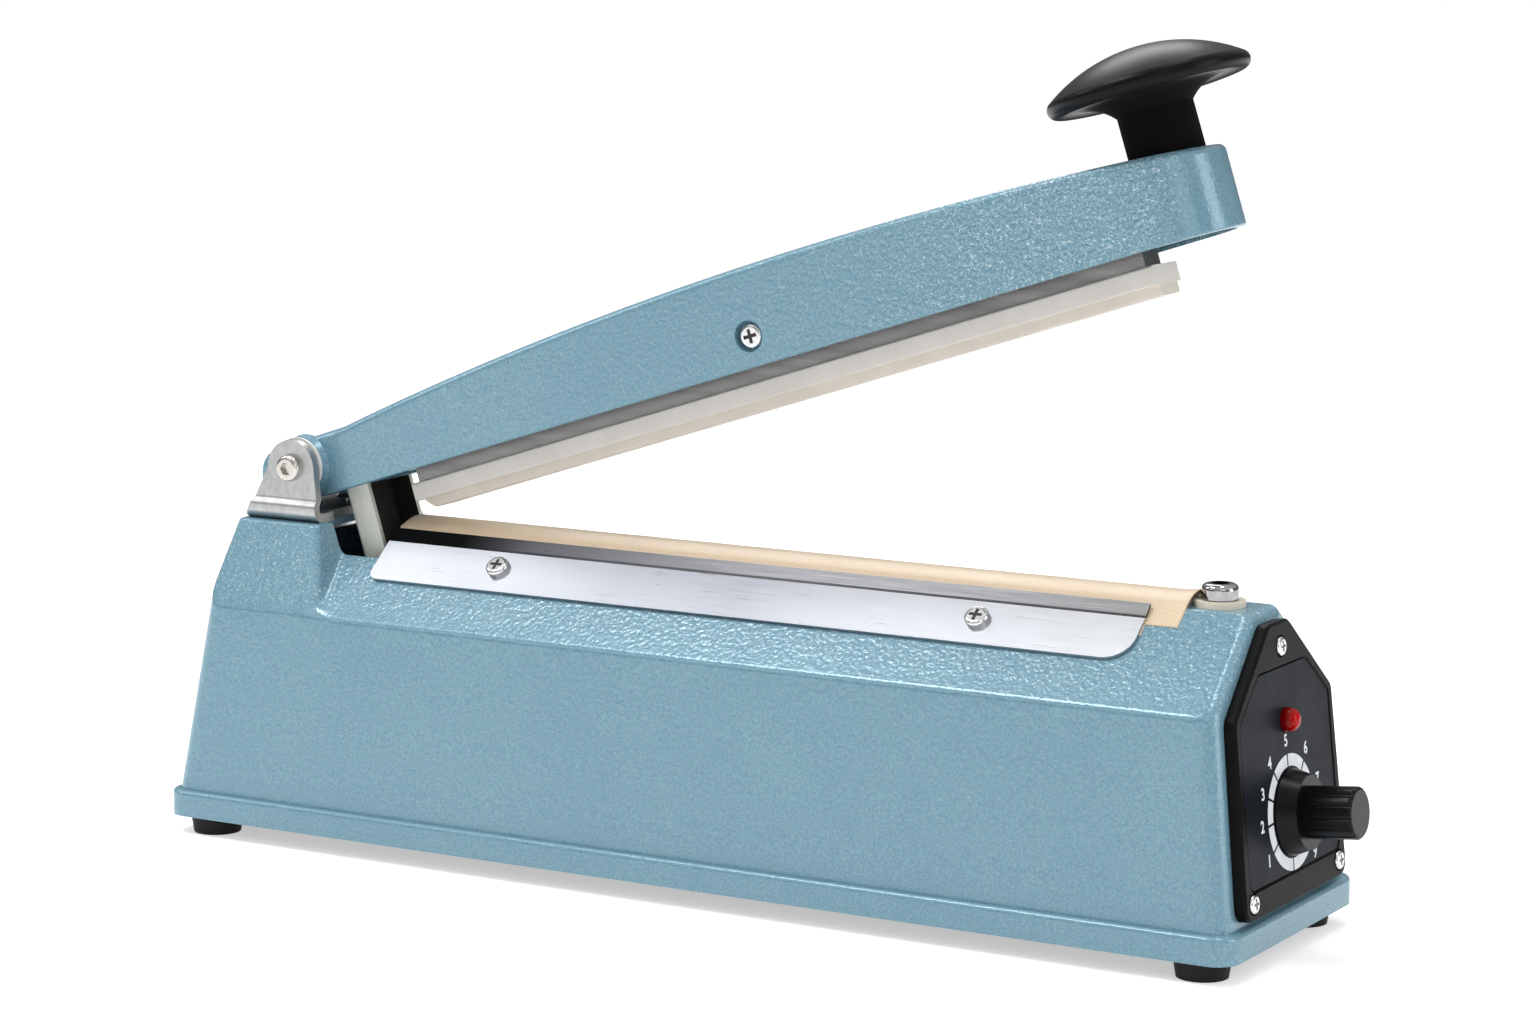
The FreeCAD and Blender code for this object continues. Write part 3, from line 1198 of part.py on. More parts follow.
# Handle
handleTop = "(handle_seat + handle_height)"
rim = "(handle_seat + handle_rim_height)"
domeEdge = "(handle_size / 2 - 1)"
domeRise = "(handle_height - handle_rim_height - 1.8)"
domeRadius = "((%s * %s + %s * %s) / (2 * %s))" % (domeEdge, domeEdge, domeRise, domeRise, domeRise)
domeMiddle = "(%s - %s + sqrt(%s * %s - %s * %s / 4))" % (
    handleTop, domeRadius, domeRadius, domeRadius, domeEdge, domeEdge)
handle = turned("HandleKnob", [
    ("nose_place", "handle_foot"), ("nose_place + handle_stem / 2", "handle_foot"),
    ("nose_place + handle_stem / 2", rim + " - 8"),
    ("nose_place + handle_size / 2 - 3", rim + " - 3.2",
     "nose_place + handle_stem / 2 + 4", rim + " - 4.6"),
    ("nose_place + handle_size / 2 - 1", rim + " + 1.8", "nose_place + handle_size / 2",
     rim + " - 0.6"),
    ("nose_place", handleTop, "nose_place + %s / 2" % domeEdge, domeMiddle)],
    "nose_place")
pocket(handle, newSketch(handle, "XY", "handle_foot", circles=[
    ("nose_place", "0", "handle_stud_size + 2 * fit_gap")]),
       "handle_seat - handle_foot + handle_height / 2", back=True)
handleTrim = block("HandleTrim", "XZ", "handle_size", [
    [("root_end + 2", under)] + crownEdge("(0 - fit_gap)", "root_end + 2",
                                          "arm_root_top - 1.6 + fit_gap")], centred=True)
node("handle_knob", cut("HandleFitted", handle, handleTrim), "arm")
stud = block("HandleStud", "XY", "handle_seat + arm_under / 3 + 6 + handle_height / 2 - 1",
             circles=[("nose_place", "0", "handle_stud_size")], lift="-arm_under / 3 - 6")
node("handle_stud", stud, "arm")
hexNut("handle_nut", "XY", [("nose_place", "0")], "-arm_under / 3", "handle_stud_size * 1.65",
       "handle_stud_size + 2 * fit_gap", "handle_stud_size * 0.8", "arm", back=True)

# Press bar: rail with its lug, rubber holder and silicone rubber
lugLeft = "pivot_place - lug_length / 2"
lugRight = "pivot_place + lug_length / 2"
lugTop = "lug_length / 2 - pivot_drop"
rail = block("PressBarRail", "XZ", "rail_width", [[
    ("rail_start", "-rail_bottom"), ("rail_end", "-rail_bottom"), ("rail_end", "-rail_top"),
    (lugRight, "-rail_top"), (lugRight, lugTop, "lug_length / 3"),
    (lugLeft, lugTop, "lug_length / 3"), (lugLeft, "-rail_top"), ("rail_start", "-rail_top")]],
    [pivot + ("bolt_size + 2 * fit_gap",)], centred=True)
node("press_bar_rail", rail, "arm")
holderTop = "-rail_bottom"
holderLow = "-rail_bottom - holder_height"
holderBlock = block("RubberHolder", "YZ", "holder_end - holder_start", [[
    ("-holder_width / 2", holderLow, 0.6), ("holder_width / 2", holderLow, 0.6),
    ("holder_width / 2", holderTop, 0.8), ("-holder_width / 2", holderTop, 0.8)]],
    lift="holder_start")
node("rubber_holder", holderBlock, "arm")
rubber = block("RubberStrip", "YZ", "holder_end - rubber_start", [[
    ("-rubber_width / 2", "-rubber_bottom", 1), ("rubber_width / 2", "-rubber_bottom", 1),
    ("rubber_width / 2", holderLow), ("-rubber_width / 2", holderLow)]], lift="rubber_start")
pocket(rubber, newSketch(rubber, "XZ", "rubber_width", [[
    ("rubber_start - 1", "-rubber_bottom - 1"), ("rubber_start + rubber_bevel", "-rubber_bottom - 1"),
    ("rubber_start + rubber_bevel", "-rubber_bottom"), ("rubber_start", holderLow + " - 0.5"),
    ("rubber_start - 1", holderLow + " - 0.5")]]), "rubber_width * 2")
node("rubber_strip", rubber, "arm")
screws("press_bar_pivot", "XZ", [pivot], "arm_half - arm_wall", "pivot_head", "arm_wall * 0.7",
       "bolt_size", "arm_half * 2 - arm_wall * 2", "arm")

# Check everything, then write one file for each piece
doc.recompute()
faults = [item.Name for item in doc.Objects if "Invalid" in item.State or "Error" in item.State]
faults += [item.Label for item in nodes if item.Shape.isNull() or not item.Shape.isValid()]
if faults:
    raise RuntimeError("failed: " + ", ".join(faults))
os.makedirs("parts", exist_ok=True)
for item in nodes:
    item.Shape.exportStep(os.path.join("parts", item.Label + ".step"))
print(len(nodes), "pieces written")
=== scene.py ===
import math
import bmesh
import bpy
from mathutils import Matrix, Vector, noise


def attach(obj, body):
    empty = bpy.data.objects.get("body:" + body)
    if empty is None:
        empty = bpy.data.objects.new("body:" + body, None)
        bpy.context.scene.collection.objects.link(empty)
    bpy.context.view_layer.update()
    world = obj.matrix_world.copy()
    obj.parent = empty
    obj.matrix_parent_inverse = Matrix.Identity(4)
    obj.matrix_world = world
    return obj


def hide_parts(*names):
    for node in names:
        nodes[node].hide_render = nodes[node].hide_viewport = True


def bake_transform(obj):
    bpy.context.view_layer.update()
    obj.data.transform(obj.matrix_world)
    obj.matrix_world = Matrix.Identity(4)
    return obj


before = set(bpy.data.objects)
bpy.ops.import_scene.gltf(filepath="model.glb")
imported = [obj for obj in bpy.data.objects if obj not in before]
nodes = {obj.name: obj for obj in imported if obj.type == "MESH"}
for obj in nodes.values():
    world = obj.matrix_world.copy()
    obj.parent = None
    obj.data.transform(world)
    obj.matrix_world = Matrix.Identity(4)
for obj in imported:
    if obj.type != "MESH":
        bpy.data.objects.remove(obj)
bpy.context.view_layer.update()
print("frame loaded with", len(nodes), "nodes")


def tint(red, green, blue):
    channels = [value / 255 for value in (red, green, blue)]
    return tuple(c / 12.92 if c <= 0.04045 else ((c + 0.055) / 1.055) ** 2.4 for c in channels) + (1,)


class Wire:
    def __init__(self, paint, socket):
        self.paint = paint
        self.socket = socket

    def __add__(self, other):
        return self.paint.sum("ADD", self, other)

    def __sub__(self, other):
        return self.paint.sum("SUBTRACT", self, other)

    def __mul__(self, other):
        return self.paint.sum("MULTIPLY", self, other)

    def __gt__(self, other):
        return self.paint.sum("GREATER_THAN", self, other)

    def __lt__(self, other):
        return self.paint.sum("LESS_THAN", self, other)

    __radd__ = __add__
    __rmul__ = __mul__


class Paint:
    def __init__(self, tree):
        self.tree = tree
        self.tree.nodes.clear()

    def add(self, kind, settings, inputs, output=0):
        item = self.tree.nodes.new(kind)
        for name, value in settings.items():
            if name != "stops":
                setattr(item, name, value)
        if "stops" in settings:
            marks = item.color_ramp.elements
            stops = settings["stops"]
            marks[0].position, marks[1].position = stops[0][0], stops[-1][0]
            for place, colour in stops[1:-1]:
                marks.new(place)
            for mark, (place, colour) in zip(marks, stops):
                mark.color = colour if isinstance(colour, tuple) else (colour, colour, colour, 1)
        for name, value in inputs.items():
            if isinstance(value, Wire):
                self.tree.links.new(value.socket, item.inputs[name])
            else:
                item.inputs[name].default_value = value
        return Wire(self, item.outputs[output]) if item.outputs else item

    def sum(self, operation, first, second):
        return self.add("ShaderNodeMath", {"operation": operation}, {0: first, 1: second})

    def mix(self, factor, first, second, blend="MIX"):
        return self.add("ShaderNodeMix", {"data_type": "RGBA", "blend_type": blend},
                        {0: factor, 6: first, 7: second}, 2)

    def ramp(self, factor, *stops):
        return self.add("ShaderNodeValToRGB", {"stops": stops}, {"Fac": factor})

    def spot(self, scale=(1, 1, 1), turn=(0, 0, 0), shift=(0, 0, 0)):
        place = self.add("ShaderNodeTexCoord", {}, {}, "Object")
        return self.add("ShaderNodeMapping", {}, {"Vector": place, "Scale": scale, "Rotation": turn,
                                                  "Location": shift})

    def noise(self, spot, scale, detail=2, rough=0.5):
        return self.add("ShaderNodeTexNoise", {}, {"Vector": spot, "Scale": scale, "Detail": detail,
                                                   "Roughness": rough})

    def bump(self, height, distance, strength=1.0):
        return self.add("ShaderNodeBump", {}, {"Height": height, "Distance": distance,
                                               "Strength": strength})


def makeFinish(name, build):
    material = bpy.data.materials.new(name)
    material.use_nodes = True
    paint = Paint(material.node_tree)
    shader = paint.add("ShaderNodeBsdfPrincipled", {}, build(paint))
    paint.add("ShaderNodeOutputMaterial", {}, {"Surface": shader})
    return material


def mottled(name, colour, second, rough, grain=300, stretch=(1, 1, 1), bump=0.00003, spread=0.08,
            **fixed):
    def build(paint):
        spot = paint.spot(stretch)
        broad = paint.noise(spot, grain, 4, 0.6)
        fine = paint.noise(spot, grain * 6, 2)
        shade = paint.ramp(broad, (0.3, 0.0), (0.7, 1.0))
        inputs = {"Base Color": paint.mix(shade, colour, second),
                  "Roughness": (fine - 0.5) * spread * 2 + rough,
                  "Normal": paint.bump(broad * 0.5 + fine, bump)}
        inputs.update({key.replace("_", " "): value for key, value in fixed.items()})
        return inputs
    return makeFinish(name, build)


# paintedGlint is a painted highlight colour: the white of lamp glints on the hammered paint
hammered = {"base": tint(104, 145, 163), "light": tint(128, 167, 183), "paintedGlint": tint(214, 232, 238),
            "grain": 1250, "dimple": 640, "dash": 900, "depth": 0.00017}


def hammeredPaint(paint):
    spot = paint.spot()
    x, z = (paint.add("ShaderNodeSeparateXYZ", {}, {"Vector": spot}, name) for name in "XZ")
    fine = paint.noise(spot, hammered["grain"], 3, 0.62)
    dimple = paint.noise(paint.spot(shift=(2, 1, 4)), hammered["dimple"], 1, 0.4)
    dash = paint.noise(paint.spot((0.7, 1, 1), (0, 0.5, 0), (5, 2, 6)), hammered["dash"], 0)
    patch = paint.noise(paint.spot(shift=(3, 5, 7)), hammered["dash"] * 1.1, 0)
    slopes = paint.ramp(z * 4, (0.32, 0.0), (0.345, 0.55), (0.425, 0.55), (0.44, 0.0))
    flank = (z > 0.128) * paint.ramp(x * 4 + 0.3, (0.2, 0.1), (0.45, 0.3), (0.65, 1.0), (0.89, 1.0),
                                     (0.93, 0.0))
    glintAndRelief = slopes + flank + 0.1
    ridge = paint.ramp(paint.sum("ABSOLUTE", dash - 0.5, 0.0), (0.0, 1.0), (0.05, 0.0))
    # Painted highlight: white flecks on the roof slopes and the right part of the arm's flank stand
    # in for glints of the lamps on the hammered relief; the same mask also deepens the dimple bump
    # there
    paintedGlint = ridge * paint.ramp(patch, (0.43, 0.0), (0.55, 1.0)) * glintAndRelief
    broad = paint.noise(spot, 34, 3)
    shade = paint.ramp(fine, (0.34, 0.0), (0.66, 1.0))
    colour = paint.mix(shade, hammered["base"], hammered["light"])
    dull = paint.mix(paint.ramp(broad, (0.35, 0.0), (0.7, 0.2)), colour, tint(100, 142, 164))
    return {"Base Color": paint.mix(paintedGlint * 0.85, dull, hammered["paintedGlint"]),
            "Roughness": fine * 0.16 + 0.13, "Metallic": 0.12, "Specular IOR Level": 0.62,
            "Normal": paint.bump(dimple * (glintAndRelief + 0.6) + fine * 0.16, hammered["depth"], 0.95)}


def lensPaint(paint):
    spot = paint.spot()
    along = paint.add("ShaderNodeSeparateXYZ", {}, {"Vector": spot})
    # Painted light and shade: the red runs from dark at the lens's base to bright at its tip,
    # standing in for shade at the rim and light on the dome
    depth = (along - 0.1842) * 210
    colour = paint.ramp(depth + paint.noise(spot, 300, 1) * 0.06, (0.0, tint(84, 1, 3)),
                        (0.55, tint(136, 4, 6)), (1.0, tint(186, 10, 10)))
    return {"Base Color": colour, "Roughness": 0.1, "Specular IOR Level": 0.16}


armPlace = {"hinge": (-0.1712989, 0.1271), "tilt": math.radians(17.9)}
leverPlace = {"web": 0.0111, "flange": 0.0114}


def leverPaint(paint):
    tilt, hinge = armPlace["tilt"], armPlace["hinge"]
    spot = paint.spot()
    x, y, z = (paint.add("ShaderNodeSeparateXYZ", {}, {"Vector": spot}, name) for name in "XYZ")
    reach = (x - hinge[0]) * math.cos(tilt) + (z - hinge[1]) * math.sin(tilt)
    side = paint.sum("ABSOLUTE", y, 0.0)
    # Painted shade: the channel's inner faces, between its flanges and past its web, get a near-black
    # brown standing in for the shade inside it
    shadedInside = (reach > leverPlace["web"]) * (side < leverPlace["flange"])
    brushed = paint.noise(paint.spot((1, 1, 0.08)), 900, 3, 0.6)
    grime = paint.ramp(paint.noise(spot, 90, 3), (0.4, 0.0), (0.75, 0.35))
    plate = paint.mix(brushed, tint(228, 228, 218), tint(244, 244, 235))
    plate = paint.mix(grime, plate, tint(204, 204, 194))
    return {"Base Color": paint.mix(shadedInside, plate, tint(52, 49, 45)),
            "Roughness": brushed * 0.2 + 0.34, "Metallic": 0.35,
            "Normal": paint.bump(brushed, 0.00002)}


stripPlace = {"fold": 0.1034, "left": -0.137, "right": 0.144}


def stripPaint(paint):
    spot = paint.spot()
    x, z = (paint.add("ShaderNodeSeparateXYZ", {}, {"Vector": spot}, name) for name in "XZ")
    along = (x - stripPlace["left"]) * (1 / (stripPlace["right"] - stripPlace["left"]))
    brushed = paint.noise(paint.spot((0.035, 1, 1)), 1300, 4, 0.65)
    clouds = paint.noise(paint.spot((0.35, 1, 1), shift=(0.21, 0, 0)), 26, 2, 0.4)
    # Painted reflection: the face brightens and darkens in bands along the strip, standing in for the
    # studio mirrored in the steel
    face = paint.ramp(along + clouds * 0.3 - 0.15, (0.0, tint(202, 205, 211)),
                      (0.3, tint(152, 155, 163)), (0.5, tint(142, 144, 152)),
                      (0.72, tint(172, 174, 180)), (1.0, tint(198, 200, 204)))
    face = paint.mix(brushed * 0.3, face, tint(190, 192, 198))
    # Painted reflection and shade: the fold is near black at its left end and mid grey further on,
    # standing in for what it mirrors and the shade on it
    fold = paint.ramp(along, (0.0, tint(5, 5, 7)), (0.1, tint(4, 4, 6)), (0.2, tint(58, 58, 62)),
                      (0.5, tint(82, 82, 85)), (1.0, tint(70, 70, 71)))
    fold = paint.mix(brushed * 0.05, fold, tint(120, 121, 124))
    dark = (z > stripPlace["fold"]) * paint.ramp(along, (0.08, 1.0), (0.2, 0.0))
    return {"Base Color": paint.mix(z > stripPlace["fold"], face, fold),
            "Roughness": brushed * 0.22 + 0.2 + dark * 0.4, "Metallic": 1.0,
            "Normal": paint.bump(brushed, 0.000012)}


def clothPaint(paint):
    spot = paint.spot()
    u, v = (paint.add("ShaderNodeSeparateXYZ", {}, {"Vector": spot}, name) for name in "XY")
    waves = [paint.sum("SINE", value * (2 * math.pi / pitch), 0.0)
             for value, pitch in ((u, 0.00115), (v, 0.00095))]
    weave = waves[0] * waves[1] * 0.5 + 0.5
    drift = paint.noise(paint.spot(), 45, 3)
    stain = paint.noise(paint.spot((0.25, 1, 1)), 120, 3)
    yarn = paint.ramp(weave + paint.noise(spot, 2400, 2) * 0.5 - 0.25, (0.05, 0.0), (0.5, 1.0))
    colour = paint.mix(yarn, tint(188, 153, 110), tint(236, 216, 187))
    colour = paint.mix(paint.ramp(stain, (0.45, 0.0), (0.8, 0.35)), colour, tint(219, 192, 156))
    return {"Base Color": colour, "Roughness": drift * 0.16 + 0.3, "Specular IOR Level": 0.45,
            "Sheen Weight": 0.15, "Normal": paint.bump(weave, 0.00005, 0.7)}


handlePlace = {"rim": 0.0351, "fade": 0.001}


def handlePaint(paint):
    tilt, hinge = armPlace["tilt"], armPlace["hinge"]
    spot = paint.spot()
    x, z = (paint.add("ShaderNodeSeparateXYZ", {}, {"Vector": spot}, name) for name in "XZ")
    height = (z - hinge[1]) * math.cos(tilt) - (x - hinge[0]) * math.sin(tilt)
    rim, fade = handlePlace["rim"] * 10, handlePlace["fade"] * 10
    under = paint.ramp(height * 10, (rim - fade, 1.0), (rim, 0.0))
    grain = paint.noise(spot, 900, 3, 0.6)
    return {"Base Color": paint.mix(grain, tint(6, 6, 7), tint(11, 11, 12)),
            "Roughness": grain * 0.05 + 0.3 + under * 0.6, "Specular IOR Level": 0.14,
            "Normal": paint.bump(grain, 0.000008)}


finishes = {
    "hammeredBlue": makeFinish("hammeredBlue", hammeredPaint),
    "lensRed": makeFinish("lensRed", lensPaint),
    "leverZinc": makeFinish("leverZinc", leverPaint),
    "clampSteel": makeFinish("clampSteel", stripPaint),
    "tapeCloth": makeFinish("tapeCloth", clothPaint),
    "coverSteel": mottled("coverSteel", tint(62, 64, 67), tint(78, 80, 83), 0.5),
    "footRubber": mottled("footRubber", tint(16, 16, 18), tint(25, 25, 27), 0.6, 500, bump=0.00005,
                          Specular_IOR_Level=0.22),
    "zincScrew": mottled("zincScrew", tint(206, 207, 208), tint(222, 222, 221), 0.14, 500,
                         bump=0.000002, spread=0.03, Metallic=1.0),
    "polishedScrew": mottled("polishedScrew", tint(150, 150, 152), tint(172, 172, 173), 0.1, 400,
                             bump=0.000001, spread=0.02, Metallic=1.0),
    "boltSteel": mottled("boltSteel", tint(190, 186, 180), tint(208, 205, 199), 0.24, 600,
                         bump=0.000002, spread=0.04, Metallic=1.0),
    "brushedSteel": mottled("brushedSteel", tint(196, 198, 200), tint(222, 223, 224), 0.24, 260,
                            (0.05, 1, 1), 0.00001, Metallic=1.0),
    "bracketSteel": mottled("bracketSteel", tint(164, 165, 166), tint(188, 188, 188), 0.36, 420,
                            (1, 1, 0.6), 0.00002, Metallic=0.9),
    "whiteNylon": mottled("whiteNylon", tint(232, 230, 224), tint(240, 239, 235), 0.42),
    "barSilicone": mottled("barSilicone", tint(206, 198, 184), tint(216, 209, 196), 0.55),
    "elementAlloy": mottled("elementAlloy", tint(150, 146, 140), tint(170, 166, 160), 0.3,
                            Metallic=1.0),
    "creamMoulding": mottled("creamMoulding", tint(222, 212, 190), tint(234, 226, 208), 0.4),
    "bezelBlack": mottled("bezelBlack", tint(9, 9, 10), tint(14, 14, 15), 0.4, 1200,
                          bump=0.00005, Specular_IOR_Level=0.08),
    "labelSlate": mottled("labelSlate", tint(23, 27, 33), tint(38, 42, 49), 0.4, 22, bump=0.0,
                          Specular_IOR_Level=0.05),
    "knobBlack": mottled("knobBlack", tint(7, 7, 8), tint(12, 12, 13), 0.26, 1300,
                         bump=0.00001, Specular_IOR_Level=0.16),
    "handleBlack": makeFinish("handleBlack", handlePaint),
    "barAluminium": mottled("barAluminium", tint(119, 118, 117), tint(142, 141, 140), 0.34, 240,
                            (0.05, 1, 1), Metallic=0.9),
    "boardGreen": mottled("boardGreen", tint(24, 92, 50), tint(30, 104, 58), 0.4),
    "capacitorBlue": mottled("capacitorBlue", tint(30, 44, 92), tint(36, 52, 102), 0.3),
    "pillarBrass": mottled("pillarBrass", tint(200, 166, 92), tint(212, 180, 108), 0.3,
                           Metallic=1.0),
    "coreIron": mottled("coreIron", tint(70, 70, 72), tint(88, 88, 90), 0.5, 120, (1, 30, 1),
                        Metallic=0.6),
    "coilWrap": mottled("coilWrap", tint(206, 176, 70), tint(216, 188, 84), 0.5),
    "springSteel": mottled("springSteel", tint(150, 152, 156), tint(176, 178, 180), 0.3,
                           Metallic=1.0),
    "holderWhite": mottled("holderWhite", tint(230, 224, 216), tint(240, 235, 228), 0.45, 60),
    "siliconeWhite": mottled("siliconeWhite", tint(222, 213, 202), tint(232, 224, 213), 0.5, 60),
    "printWhite": mottled("printWhite", tint(232, 237, 243), tint(242, 245, 250), 0.45),
    # Painted shade: near-black brown for the shade inside the screw recesses
    "paintedShade": mottled("paintedShade", tint(30, 25, 20), tint(48, 41, 34), 0.5, 900),
}
wears = {
    "hammeredBlue": ["base_housing", "arm_casting"],
    "coverSteel": ["bottom_cover"],
    "footRubber": ["foot_front_left", "foot_front_right", "foot_rear_left", "foot_rear_right",
                   "cord_grommet"],
    "zincScrew": ["foot_screws", "bracket_screws", "bracket_nuts", "clamp_screws_front",
                  "clamp_screws_rear", "terminal_nut", "panel_screws", "potentiometer_nut",
                  "transformer_screws", "switch_screws", "press_bar_pivot", "handle_stud",
                  "handle_nut"],
    "polishedScrew": ["terminal_screw_right"],
    "boltSteel": ["hinge_bolt", "hinge_nut"],
    "clampSteel": ["clamp_strip_front", "clamp_strip_rear"],
    "brushedSteel": ["transformer_frame", "switch_bracket", "spring_anchor"],
    "bracketSteel": ["hinge_bracket"],
    "leverZinc": ["actuator_channel"],
    "whiteNylon": ["hinge_washers", "mains_terminal", "switch_button"],
    "barSilicone": ["insulator_bar"],
    "elementAlloy": ["heating_element"],
    "creamMoulding": ["terminal_bush", "terminal_block_left"],
    "bezelBlack": ["control_panel"],
    "labelSlate": ["panel_label"],
    "lensRed": ["led_lens"],
    "knobBlack": ["timer_knob", "led_holder", "switch_body", "timer_relay"],
    "handleBlack": ["handle_knob"],
    "barAluminium": ["potentiometer", "timer_shaft", "lever_rivets", "press_bar_rail"],
    "boardGreen": ["timer_board"],
    "capacitorBlue": ["timer_capacitor"],
    "pillarBrass": ["board_standoffs"],
    "coreIron": ["transformer_core"],
    "coilWrap": ["transformer_coil"],
    "springSteel": ["return_spring"],
    "holderWhite": ["rubber_holder"],
    "siliconeWhite": ["rubber_strip"],
    "tapeCloth": ["ptfe_tape"],
}
for finish, wearers in wears.items():
    for wearer in wearers:
        nodes[wearer].data.materials.clear()
        nodes[wearer].data.materials.append(finishes[finish])
print("finishes on the CAD pieces")


def makePiece(name, form, finish, body):
    mesh = bpy.data.meshes.new(name)
    form.to_mesh(mesh)
    form.free()
    piece = bpy.data.objects.new(name, mesh)
    bpy.context.scene.collection.objects.link(piece)
    mesh.materials.append(finishes[finish])
    if body:
        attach(piece, body)
    return piece


tapeRun = {"left": -0.1373, "flap": 0.1444, "right": 0.1556, "reach": 0.0268, "flapReach": 0.0174,
           "trim": 0.132, "trimReach": 0.0205, "deck": 0.1064, "half": 0.0109, "rate": 0.8154,
           "lift": 0.0002, "step": 0.0009, "thick": 0.00018, "crest": 0.0105, "ripple": 0.00009,
           "curlFrom": 0.1465, "curlSpan": 0.0091, "curlLift": 0.0009, "drape": 0.00022,
           "screwHole": 0.003}
tapeOver = [(0, 0.11015), (0.0025, 0.11003), (0.005, 0.10958), (0.0075, 0.10882), (0.0092, 0.10810),
            (0.0101, 0.10750), (0.0105, 0.10702), (0.0110, 0.10660), (0.0118, 0.10592)]
tapeScrews = ((-0.0894, 0.0216), (0.0899, 0.0216))


def tapeLine(reach):
    line = [Vector(point) for point in tapeOver]
    foot = tapeRun["deck"] + tapeRun["lift"] - (reach - tapeRun["half"]) * tapeRun["rate"]
    line.append(Vector((reach, foot)))
    spots = []
    walked = 0.0
    for start, end in zip(line, line[1:]):
        span = (end - start).length
        while walked < span:
            spots.append(start.lerp(end, walked / span))
            walked += tapeRun["step"]
        walked -= span
    return spots


def tapeSheet():
    form = bmesh.new()
    half = tapeLine(tapeRun["reach"])
    section = [Vector((-y, z)) for y, z in reversed(half[1:])] + half
    steps = round((tapeRun["right"] - tapeRun["left"]) / tapeRun["step"])
    grid = []
    for step in range(steps + 1):
        x = tapeRun["left"] + (tapeRun["right"] - tapeRun["left"]) * step / steps
        curl = max(0.0, (x - tapeRun["curlFrom"]) / tapeRun["curlSpan"])
        row = []
        for y, z in section:
            crest = max(0.0, 1 - (y / tapeRun["crest"]) ** 2)
            ripple = noise.noise(Vector((x * 70, y * 160, 3))) * tapeRun["ripple"]
            drape = noise.noise(Vector((x * 260, y * 60, 9))) * tapeRun["drape"] * curl
            lift = crest * (ripple + drape + tapeRun["curlLift"] * curl * curl)
            row.append(form.verts.new((x, y, z + lift)))
        grid.append(row)
    for near, far in zip(grid, grid[1:]):
        for first in range(len(section) - 1):
            corners = near[first], far[first], far[first + 1], near[first + 1]
            middle = sum((corner.co for corner in corners), Vector()) / 4
            if middle.x > tapeRun["flap"] and abs(middle.y) > tapeRun["flapReach"]:
                continue
            if middle.x > tapeRun["trim"] and abs(middle.y) > tapeRun["trimReach"]:
                continue
            if any(math.hypot(middle.x - x, abs(middle.y) - y) < tapeRun["screwHole"]
                   for x, y in tapeScrews):
                continue
            form.faces.new(corners)
    loose = [corner for corner in form.verts if not corner.link_faces]
    bmesh.ops.delete(form, geom=loose, context="VERTS")
    bmesh.ops.recalc_face_normals(form, faces=form.faces)
    area = sum(face.calc_area() for face in form.faces)
    bmesh.ops.solidify(form, geom=form.faces[:], thickness=tapeRun["thick"])
    for face in form.faces:
        face.smooth = True
    piece = makePiece("tape_sheet", form, "tapeCloth", "base")
    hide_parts("ptfe_tape")


tapeSheet()


# Painted shade: a thin dark cross is set into each cross recess of the clamp screws and the pivot
# screw, standing in for the shade inside the recess
recessShade = {"reach": 0.0021, "half": 0.00053, "depth": 0.0007, "columns": (-0.0788, 0.1005),
          "setback": 0.0105989, "down": 0.0138, "out": 0.00355,
          "pivot": (0.005361, -0.01878, 0.182058)}


def darkCross(name, grid, body):
    form = bmesh.new()
    reach, half = recessShade["reach"], recessShade["half"]
    corners = [(-reach, -half), (-half, -half), (-half, -reach), (half, -reach), (half, -half),
               (reach, -half), (reach, half), (half, half), (half, reach), (-half, reach),
               (-half, half), (-reach, half)]
    face = form.faces.new([form.verts.new((x, y, 0)) for x, y in corners])
    grown = bmesh.ops.extrude_face_region(form, geom=[face])
    moved = [part for part in grown["geom"] if isinstance(part, bmesh.types.BMVert)]
    bmesh.ops.translate(form, verts=moved, vec=(0, 0, -recessShade["depth"]))
    bmesh.ops.recalc_face_normals(form, faces=form.faces)
    bmesh.ops.transform(form, matrix=grid, verts=form.verts)
    makePiece(name, form, "paintedShade", body)


roof = math.atan(tapeRun["rate"])
for side, name in ((-1, "front"), (1, "rear")):
    for count, x in enumerate(recessShade["columns"], 1):
        down = Vector((0, side * math.cos(roof), -math.sin(roof)))
        out = Vector((0, side * math.sin(roof), math.cos(roof)))
        edge = Vector((x - recessShade["setback"], side * tapeRun["half"], tapeRun["deck"]))
        head = edge + down * recessShade["down"] + out * recessShade["out"]
        grid = Matrix((out.cross(down), -down, out)).transposed().to_4x4()
        darkCross("recess_%s_%d" % (name, count), Matrix.Translation(head) @ grid, "base")
tilt = Matrix.Rotation(-armPlace["tilt"], 4, "Y") @ Matrix.Rotation(math.radians(90), 4, "X")
darkCross("recess_pivot", Matrix.Translation(recessShade["pivot"]) @ tilt, "arm")


springCoil = {"wire": 0.0006, "radius": 0.0034, "left": -0.1394, "right": -0.0762, "turns": 30,
              "height": 0.079156, "turnSteps": 20, "eyeGap": 0.0006, "eyeRadius": 0.0026,
              "eyeSweep": 330, "eyeSteps": 28}


